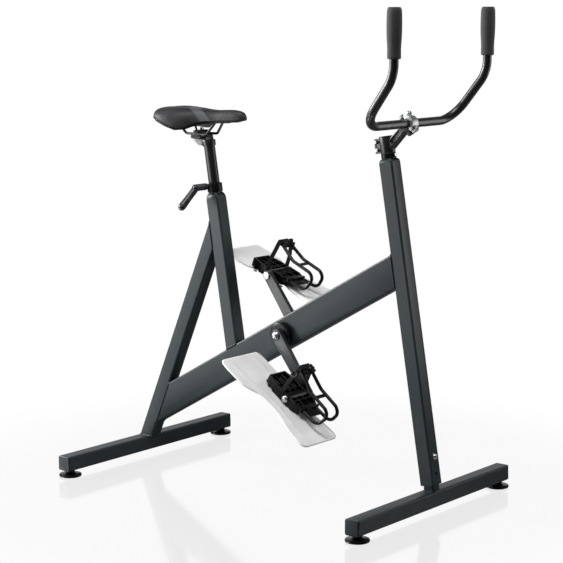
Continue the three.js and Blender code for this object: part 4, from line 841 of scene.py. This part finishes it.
# Seat clamp: a tapered sleeve welded into the seat tube, a black collar round it, and a cam
# lever on a steel stud that pulls it tight on the seat post.
softened("seat_tube_sleeve", "frame", "powder_coat", slate, 0.0010, 3, 25, "turned")
softened("seat_clamp_collar", "frame", "black_plastic", nylon, 0.0010, 3, 35, "turned")


# The lever is black nylon, coloured far lighter than the other nylon parts and mottled. This
# lightness is painted sheen: it stands for the light that its semi-gloss face catches.
def lever_painted_sheen(w):
    cloud = w.noise(60, 4)
    grain = w.noise(600, 2)
    return {
        "Base Color": cloud.step(0.3, 0.7).blend((0.012, 0.012, 0.013), (0.045, 0.046, 0.049)),
        "Roughness": 0.26 + 0.16 * cloud,
        "Normal": (grain + cloud).bump(0.0002),
    }


# The lever's finish, with the painted sheen above.
lever_sheen_nylon = finish("lever_sheen_nylon", {"Specular IOR Level": 0.5}, lever_painted_sheen)


def moulded(node, body, material, voxel, rounds, fuller=0.0):
    """A copy of a CAD solid, fused."""
    obj = piece(f"{node}_moulded", welded(node), body, "black_plastic", material, node)
    return fuse(obj, voxel, rounds, 0.4, fuller)


moulded("seat_lever", "seat_lever", lever_sheen_nylon, 0.0010, 5, 0.0021)
lever_out = Vector(joints["seat_lever_turn"]["axis"]).normalized()
lever_root = Vector(joints["seat_lever_turn"]["pos_m"])
# A plated cap on the lever's turning axis, at its elbow. It is partly the end of the pivot and
# partly painted highlight: it gives the bright spot that the lever catches at its elbow.
glint_pin_reach = 0.0600
glint_pin_cap = [
    (0, -0.002), (0.0050, -0.002), (0.0050, 0.0006), (0.0042, 0.0018), (0.0022, 0.0025),
    (0, 0.0026),
]
mesh = turned(glint_pin_cap, 28, facing(lever_root + lever_out * glint_pin_reach, lever_out))
piece("seat_lever_pin_glint", mesh, "seat_lever", "chrome", plated)


# Seat post: drawn aluminium tube in gloss black, held in the sleeve by the clamp. The forged head
# that the saddle sits on is pressed onto its top, painted black ahead and bare grey behind.
def gloss(w):
    smear = w.noise(40, 4)
    return {
        "Base Color": smear.step(0.3, 0.7).blend((0.0022, 0.0022, 0.0025), (0.004, 0.004, 0.0043)),
        "Roughness": 0.34 + 0.08 * smear,
        "Normal": smear.bump(0.00004),
    }


gloss_black = finish("gloss_black_paint", {"Coat Weight": 0.2, "Coat Roughness": 0.3}, gloss)
seat_tube_top = 0.742
seat_post_top = 0.893
seat_post_in = 0.150
seat_top = seat_root + seat_axis * ((seat_tube_top - seat_root.z) / seat_axis.z)
post_end = seat_top + seat_axis * ((seat_post_top - seat_top.z) / seat_axis.z)
reach = (post_end - seat_top).length
tube_profile = [
    (0.0128, -seat_post_in), (0.0147, -seat_post_in), (0.0150, 0.0005 - seat_post_in),
    (0.0150, reach - 0.0003), (0.0128, reach), (0.0128, -seat_post_in),
]
mesh = turned(tube_profile, 48, facing(seat_top, seat_axis))
piece("seat_post_drawn", mesh, "seat_post", "gloss_black", gloss_black, "seat_post")


seat_slope = 0.16734
tone_line = -0.1157


def two_tone(w):
    place = w.node("TexCoord", output="Object")
    along = place.part(0) + seat_slope * place.part(2)
    cloud = w.noise(30, 4)
    bare = cloud.step(0.3, 0.7).blend((0.115, 0.117, 0.120), (0.155, 0.157, 0.160))
    painted = along.step(tone_line - 0.0005, tone_line + 0.0005)
    return {
        "Base Color": painted.blend(bare, (0.004, 0.004, 0.0045)),
        "Roughness": 0.3 + 0.12 * cloud,
    }


head_paint = finish("post_head_paint", {"Coat Weight": 0.2, "Coat Roughness": 0.2}, two_tone)
softened("seat_post_head", "seat_post", "crank_grey", head_paint, 0.0014, 3, 30, "forged")


# Saddle clamp: two moulded black jaws on a round seat hold the rails. One long steel bolt draws
# them together, and the upper jaw narrows to both sides.
jaw_half = 0.024
jaw_taper = 0.4
tilt_ahead = joints["saddle_tilt"]["pos_m"][0]
moulded("saddle_cradle_lower", "saddle_cradle", nylon, 0.0009, 16)
jaw = moulded("saddle_cradle_upper", "saddle_cradle", nylon, 0.0009, 10)
for vert in jaw.data.vertices:
    share = 1 - jaw_taper * min(1.0, abs(vert.co.y) / jaw_half)
    vert.co.x = tilt_ahead + (vert.co.x - tilt_ahead) * share
softened("saddle_clamp_bolt", "saddle_cradle", "steel", plated, 0.0005, 2, 30)


# Saddle rails: two steel rods in gloss black, level between the jaws, bent up at the rear and
# drawn in to the nose. Their ends are pressed into the shell.
saddle_top = 0.984
rail_low = 0.913
rail_across = 0.022
rail_radius = 0.0035
rail_bend = 0.011
rail_rear = tilt_ahead - 0.036
rail_front = rail_rear + 0.072
for hand, side in (("right", -1), ("left", 1)):
    y = side * rail_across
    line = [
        Vector((rail_rear - 0.012, y * 1.25, saddle_top - 0.0528)),
        Vector((rail_rear, y, rail_low)),
        Vector((rail_front, y, rail_low)),
        Vector((rail_front + 0.025, y * 0.72, saddle_top - 0.0395)),
    ]
    node = f"saddle_rail_{hand}"
    mesh = swept(filleted(line, [rail_bend, rail_bend]), rail_radius, 20)
    piece(f"{node}_bent", mesh, "saddle", "gloss_black", gloss_black, node)


# Saddle shell: the black nylon base that carries the rails and that the cover is stretched over.
# It turns up at the nose.
nose_start = 0.318 - middle_ahead
nose_length = 0.033
nose_rise = 0.011
shell = softened("saddle_shell", "saddle", "black_plastic", nylon, 0.0008, 2, 30)
for vert in shell.data.vertices:
    nose = max(0.0, (vert.co.x - nose_start) / nose_length)
    vert.co.z += nose_rise * nose * nose


# Saddle cushion: foam under a stretched synthetic cover in charcoal, with a mid-grey band across
# it. It is crowned, its sides pull in to the shell, and a channel runs down the middle.
band_rear = -0.320
band_front = -0.277
band_edge = 0.0015


def cover(w):
    place = w.node("TexCoord", output="Object")
    grain = w.node("TexVoronoi", {"feature": "DISTANCE_TO_EDGE"}, {"Vector": place, "Scale": 520.0})
    cloud = w.noise(26, 4)
    outward = w.sum("MAXIMUM", w.sum("ABSOLUTE", place.part(1), 0.0) - 0.010, 0.0)
    drawn = place.part(0) - 1.5 * outward - (0.981 - place.part(2)) + 0.002 * cloud
    begun = drawn.step(band_rear - band_edge, band_rear + band_edge)
    ended = drawn.step(band_front - band_edge, band_front + band_edge)
    band = begun * (1 - ended)
    charcoal = cloud.step(0.3, 0.7).blend((0.010, 0.0104, 0.0115), (0.022, 0.0225, 0.024))
    return {
        "Base Color": band.blend(charcoal, (0.062, 0.064, 0.068)),
        "Roughness": 0.42 + 0.2 * cloud,
        "Normal": grain.bump(0.00025),
    }


cover_skin = finish("saddle_cover", {"Specular IOR Level": 0.32}, cover)
saddle_table = [
    (0, 0.5, -0.24, -0.48), (0.02, 0.74, -0.12, -0.5), (0.07, 0.93, -0.04, -0.56),
    (0.14, 1, -0.01, -0.69), (0.22, 0.99, 0, -0.84), (0.31, 0.91, -0.01, -0.98),
    (0.4, 0.72, -0.03, -0.94), (0.49, 0.53, -0.06, -0.75), (0.58, 0.4, -0.09, -0.66),
    (0.67, 0.32, -0.1, -0.63), (0.76, 0.285, -0.08, -0.61), (0.85, 0.25, -0.07, -0.59),
    (0.92, 0.215, -0.1, -0.57), (0.97, 0.16, -0.17, -0.53), (1, 0.07, -0.3, -0.46),
]
width_table, crown_table, edge_table = (
    [(row[0], row[k]) for row in saddle_table] for k in (1, 2, 3)
)
across_shares = [0, 0.16, 0.36, 0.6, 0.82, 0.96, 1, 0.95, 0.7, 0.36, 0]
drop_shares = [0, 0, 0.01, 0.06, 0.2, 0.45, 0.72, 0.9, 0.86, 0.8, 0.78]
saddle_rear = 0.078 - middle_ahead
saddle_length = 0.281
saddle_half = 0.075
saddle_depth = 0.064
channel_depth = 0.006
channel_width = 0.12
around = range(len(across_shares))
across_table = list(zip(around, across_shares))
drop_table = list(zip(around, drop_shares))


def cushion_point(share, turn):
    """A point of the cover: share along the saddle, turn from the crown to the underside."""
    width = eased(width_table, share) * saddle_half
    crown = saddle_top + eased(crown_table, share) * saddle_depth
    edge = saddle_top + eased(edge_table, share) * saddle_depth
    place = turn * (len(around) - 1)
    out = eased(across_table, place)
    drop = eased(drop_table, place)
    hollow = math.sin(math.pi * share) * math.exp(-((out / channel_width) ** 2))
    channel = channel_depth * hollow if turn < 0.4 else 0
    return out * width, crown + (edge - crown) * drop - channel


bm = bmesh.new()
rings = []
ring_steps = 26
station_shares = [0.5 - 0.5 * math.cos(math.pi * k / 60) for k in range(61)]
for share in station_shares:
    ahead = saddle_rear + share * saddle_length
    half = [cushion_point(share, k / ring_steps) for k in range(ring_steps + 1)]
    ring = [bm.verts.new((ahead, -y, z)) for y, z in half]
    ring += [bm.verts.new((ahead, y, z)) for y, z in reversed(half[1:-1])]
    rings.append(ring)
skinned(bm, rings)
bm.faces.new(rings[0])
bm.faces.new(rings[-1])
bmesh.ops.triangulate(bm, faces=[f for f in bm.faces if len(f.verts) > 4])
mesh = smoothed(closed_up(bm, "cushion"), 60)
cushion = piece(
    "saddle_cushion_covered", mesh, "saddle", "saddle_cover", cover_skin, "saddle_cushion",
)


# Saddle piping: a thin black cord sewn into the seam between the top and the sides of the cover.
# It runs right round the saddle, two thirds of the way from the crown to the underside. It also
# stands in for the shade along the rounded edge of the saddle, so it is partly painted shade.
piping_shade_turn = 0.665
piping_shade_proud = 0.0002
piping_shade_radius = 0.0015
line = []
for side in (-1, 1):
    half_line = []
    for k in range(71):
        share = 0.012 + 0.945 * k / 70
        y, z = cushion_point(share, piping_shade_turn)
        ahead = saddle_rear + share * saddle_length
        half_line.append(Vector((ahead, side * (y + piping_shade_proud), z)))
    line += half_line if side < 0 else list(reversed(half_line))
mesh = swept(line, piping_shade_radius, 12, closed=True)
piece("saddle_piping_shade", mesh, "saddle", "black_plastic", nylon)


# Post top: a tapered steel collar welded into the front post, with the frame's powder coat. A
# small plated bolt clamps the steering column in it, and a dark plastic band runs round it.
softened("post_top_sleeve", "frame", "powder_coat", slate, 0.0010, 3, 25, "turned")
softened("post_collar_bolt", "frame", "chrome", plated, 0.0005, 2, 30)
post_height = 0.870
post_top = post_foot + post_axis * ((post_height - post_foot.z) / post_axis.z)
band_profile = [
    (0.0176, 0.0098), (0.0186, 0.0098), (0.0190, 0.0102), (0.0190, 0.0214), (0.0186, 0.0219),
    (0.0176, 0.0219), (0.0176, 0.0098),
]
mesh = turned(band_profile, 48, facing(post_top, post_axis))
piece("post_collar_band", mesh, "frame", "black_plastic", nylon)


# Stem: a forged arm clamped round the steering column by two pinch bolts, with a chromed
# faceplate that holds the handlebar.
softened("steering_column", "stem", "gloss_black", gloss_black, 0.0006, 2, 35)
softened("stem", "stem", "gloss_black", gloss_black, 0.0014, 3, 32, "forged")


def satin(w):
    smear = w.noise(50, 4)
    return {
        "Base Color": smear.step(0.3, 0.7).blend((0.40, 0.41, 0.42), (0.54, 0.55, 0.56)),
        "Roughness": 0.4 + 0.14 * smear,
    }


satin_plating = finish("satin_plating", {"Metallic": 1.0}, satin)
softened("stem_faceplate", "stem", "chrome", satin_plating, 0.0012, 3, 32, "plated")
for name in ("stem_pinch_bolt_upper", "stem_pinch_bolt_lower"):
    softened(name, "stem", "chrome", satin_plating, 0.0006, 2, 35)
bar_centre = Vector(joints["handlebar_tilt"]["pos_m"])
face_rise = math.radians(32)
face_axis = Vector((math.cos(face_rise), 0, math.sin(face_rise)))
face_side = Vector((0, 1, 0)).cross(face_axis)
face_out = 0.0150
face_bolt_off = 0.0205
face_bolt = [
    (0, -0.002), (0.0044, -0.002), (0.0044, 0.0030), (0.0040, 0.0036), (0.0026, 0.0036),
    (0.0024, 0.0012), (0, 0.0012),
]
for k, sign in enumerate((-1, 1)):
    spot = bar_centre + face_side * sign * face_bolt_off + face_axis * face_out
    mesh = turned(face_bolt, 28, facing(spot, face_axis))
    piece(f"stem_face_bolt_{k + 1}", mesh, "stem", "chrome", satin_plating)


# Handlebar: one bent steel tube in gloss black, clamped in the stem at its middle. It sweeps out
# and ahead to the two upright ends that the rider holds.
bar_radius = 0.0111
bar_half = 0.190
horn_ahead = 0.095
horn_across = 0.201
horn_foot = 0.122
horn_top = 0.277
line = []
for side in (-1, 1):
    half_line = [
        bar_centre + Vector((0, side * bar_half, 0)),
        bar_centre + Vector((horn_ahead, side * horn_across, horn_foot)),
        bar_centre + Vector((horn_ahead, side * horn_across, horn_top)),
    ]
    line += list(reversed(half_line)) if side < 0 else half_line
mesh = swept(filleted(line, [0.090, 0.062, 0.062, 0.090], 18), bar_radius, 32)
piece("handlebar_bent", mesh, "handlebar", "gloss_black", gloss_black, "handlebar")


# Grips: dark foam rubber sleeves pushed over the upright ends of the bar. They are ringed at the
# foot, swollen in the upper half for the palm, and closed at the top.
def foam(w):
    pores = w.noise(1100, 3, 0.6)
    cloud = w.noise(16, 4)
    mottle = (cloud * 0.6 + pores * 0.4).step(0.35, 0.65)
    return {
        "Base Color": mottle.blend((0.007, 0.0073, 0.008), (0.015, 0.0155, 0.017)),
        "Roughness": 0.74 + 0.14 * pores,
        "Normal": pores.bump(0.0004),
    }


foam_rubber = finish("foam_rubber", {"Sheen Weight": 0.2, "Sheen Roughness": 0.6}, foam)
grip_table = [
    (0, 0.86), (0.05, 0.9), (0.25, 0.9), (0.42, 0.97), (0.62, 1), (0.85, 0.98), (0.95, 0.93),
    (1, 0.8),
]
grip_length = 0.119
grip_radius = 0.01825
grip_over = 0.005
ring_depth = 0.0005
for hand, side in (("right", -1), ("left", 1)):
    grip_foot = horn_top - grip_length + grip_over
    foot = bar_centre + Vector((horn_ahead, side * horn_across, grip_foot))
    profile = [(0.0115, 0.112), (0.0115, 0), (0.0150, 0)]
    for k in range(49):
        share = 0.012 + 0.962 * k / 48
        radius = eased(grip_table, share) * grip_radius
        if 0.05 < share < 0.22 and k % 2:
            radius -= ring_depth
        profile.append((radius, share * grip_length))
    profile += [(0.0145, grip_length - 0.0006), (0.0130, grip_length), (0, grip_length)]
    mesh = turned(profile, 48, Matrix.Translation(foot))
    piece(f"grip_{hand}_foam", mesh, "handlebar", "grip_rubber", foam_rubber, f"grip_{hand}")


# Floor: a plain white studio floor that keeps a faint shadow and reflection of the base bars. It
# throws little light back, so that the undersides of the bike stay dark.
def studio_floor(material):
    material.use_nodes = True
    tree = material.node_tree
    tree.nodes.clear()
    w = Wire(tree)
    matt = w.node("BsdfDiffuse", inputs={"Color": (0.26, 0.25, 0.255, 1)})
    sheen = w.node("BsdfGlossy", inputs={"Color": (1, 0.985, 0.99, 1), "Roughness": 0.1})
    white = w.node("Emission", inputs={"Color": (1, 1, 1, 1), "Strength": 1.0})
    ground = w.node("MixShader", inputs={0: 0.68, 1: matt, 2: sheen})
    place = w.node("TexCoord", output="Object")
    distance = w.node("VectorMath", {"operation": "LENGTH"}, {0: place}, output=1)
    seen = w.node("LightPath", output=0)
    share = seen * (0.79 + 0.21 * distance.step(0.7, 1.25))
    shown = w.node("MixShader", inputs={0: share, 1: ground, 2: white})
    dark = w.node("BsdfDiffuse", inputs={"Color": (0.08, 0.08, 0.08, 1)})
    shown = w.node("MixShader", inputs={0: 0.5 + 0.5 * seen, 1: dark, 2: shown})
    output = tree.nodes.new("ShaderNodeOutputMaterial")
    tree.links.new(shown.socket, output.inputs["Surface"])
    return material


floor_mesh = bpy.data.meshes.new("floor")
floor_half = 6.0
floor_signs = ((-1, -1), (1, -1), (1, 1), (-1, 1))
corners = [(x * floor_half, y * floor_half, 0) for x, y in floor_signs]
floor_mesh.from_pydata(corners, [], [(0, 1, 2, 3)])
floor = bpy.data.objects.new("floor", floor_mesh)
bpy.context.scene.collection.objects.link(floor)
floor_mesh.materials.append(studio_floor(bpy.data.materials.new("studio_floor")))


# Light: a dim room that the camera sees as plain white, with a bright backdrop behind the bike,
# and four soft boxes: a tall one at the left of the picture, a low one at the right side of the
# bike, one ahead of it and one above.
world = bpy.data.worlds.new("studio")
bpy.context.scene.world = world
world.use_nodes = True
world.node_tree.nodes.clear()
w = Wire(world.node_tree)
walls = w.node("Background", inputs={"Color": (0.9, 0.94, 1, 1), "Strength": 0.05})
ceiling = w.node("Background", inputs={"Color": (0.95, 0.97, 1, 1), "Strength": 0.18})
backdrop = w.node("Background", inputs={"Color": (1, 0.97, 0.98, 1), "Strength": 1.0})
way = w.node("TexCoord", output="Generated")
behind = w.node("VectorMath", {"operation": "DOT_PRODUCT"}, {0: way, 1: tuple(-back)}, output=1)
room = w.node("MixShader", inputs={0: way.part(2).step(0.05, 0.85), 1: walls, 2: ceiling})
room = w.node("MixShader", inputs={0: behind.step(0.7, 0.9), 1: room, 2: backdrop})
white = w.node("Background", inputs={"Color": (1, 1, 1, 1), "Strength": 1.0})
shown = w.node("MixShader", inputs={0: w.node("LightPath", output=0), 1: room, 2: white})
output = world.node_tree.nodes.new("ShaderNodeOutputWorld")
world.node_tree.links.new(shown.socket, output.inputs["Surface"])


def soft_box(name, place, aim_at, size, power):
    """A rectangular lamp that faces a point."""
    data = bpy.data.lights.new(name, "AREA")
    data.shape = "RECTANGLE"
    data.size, data.size_y = size
    data.energy = power
    lamp = bpy.data.objects.new(name, data)
    bpy.context.scene.collection.objects.link(lamp)
    lamp.location = place
    lamp.rotation_euler = (Vector(aim_at) - Vector(place)).to_track_quat("-Z", "Y").to_euler()


soft_box("left_box", (-2.5, -1.4, 1.5), (-0.2, 0, 0.5), (0.45, 0.9), 126)
soft_box("strip_box", (-1.5, -1.7, 0.4), (-0.2, 0, 0.2), (1.1, 0.74), 15)
soft_box("front_box", (1.25, 1.1, 0.9), (0.35, 0, 0.8), (0.5, 1.1), 7)
soft_box("key_box", (0.35, -1.1, 3.0), (0, 0, 0.5), (1.6, 1.1), 63)

bpy.context.scene.view_settings.view_transform = "Standard"
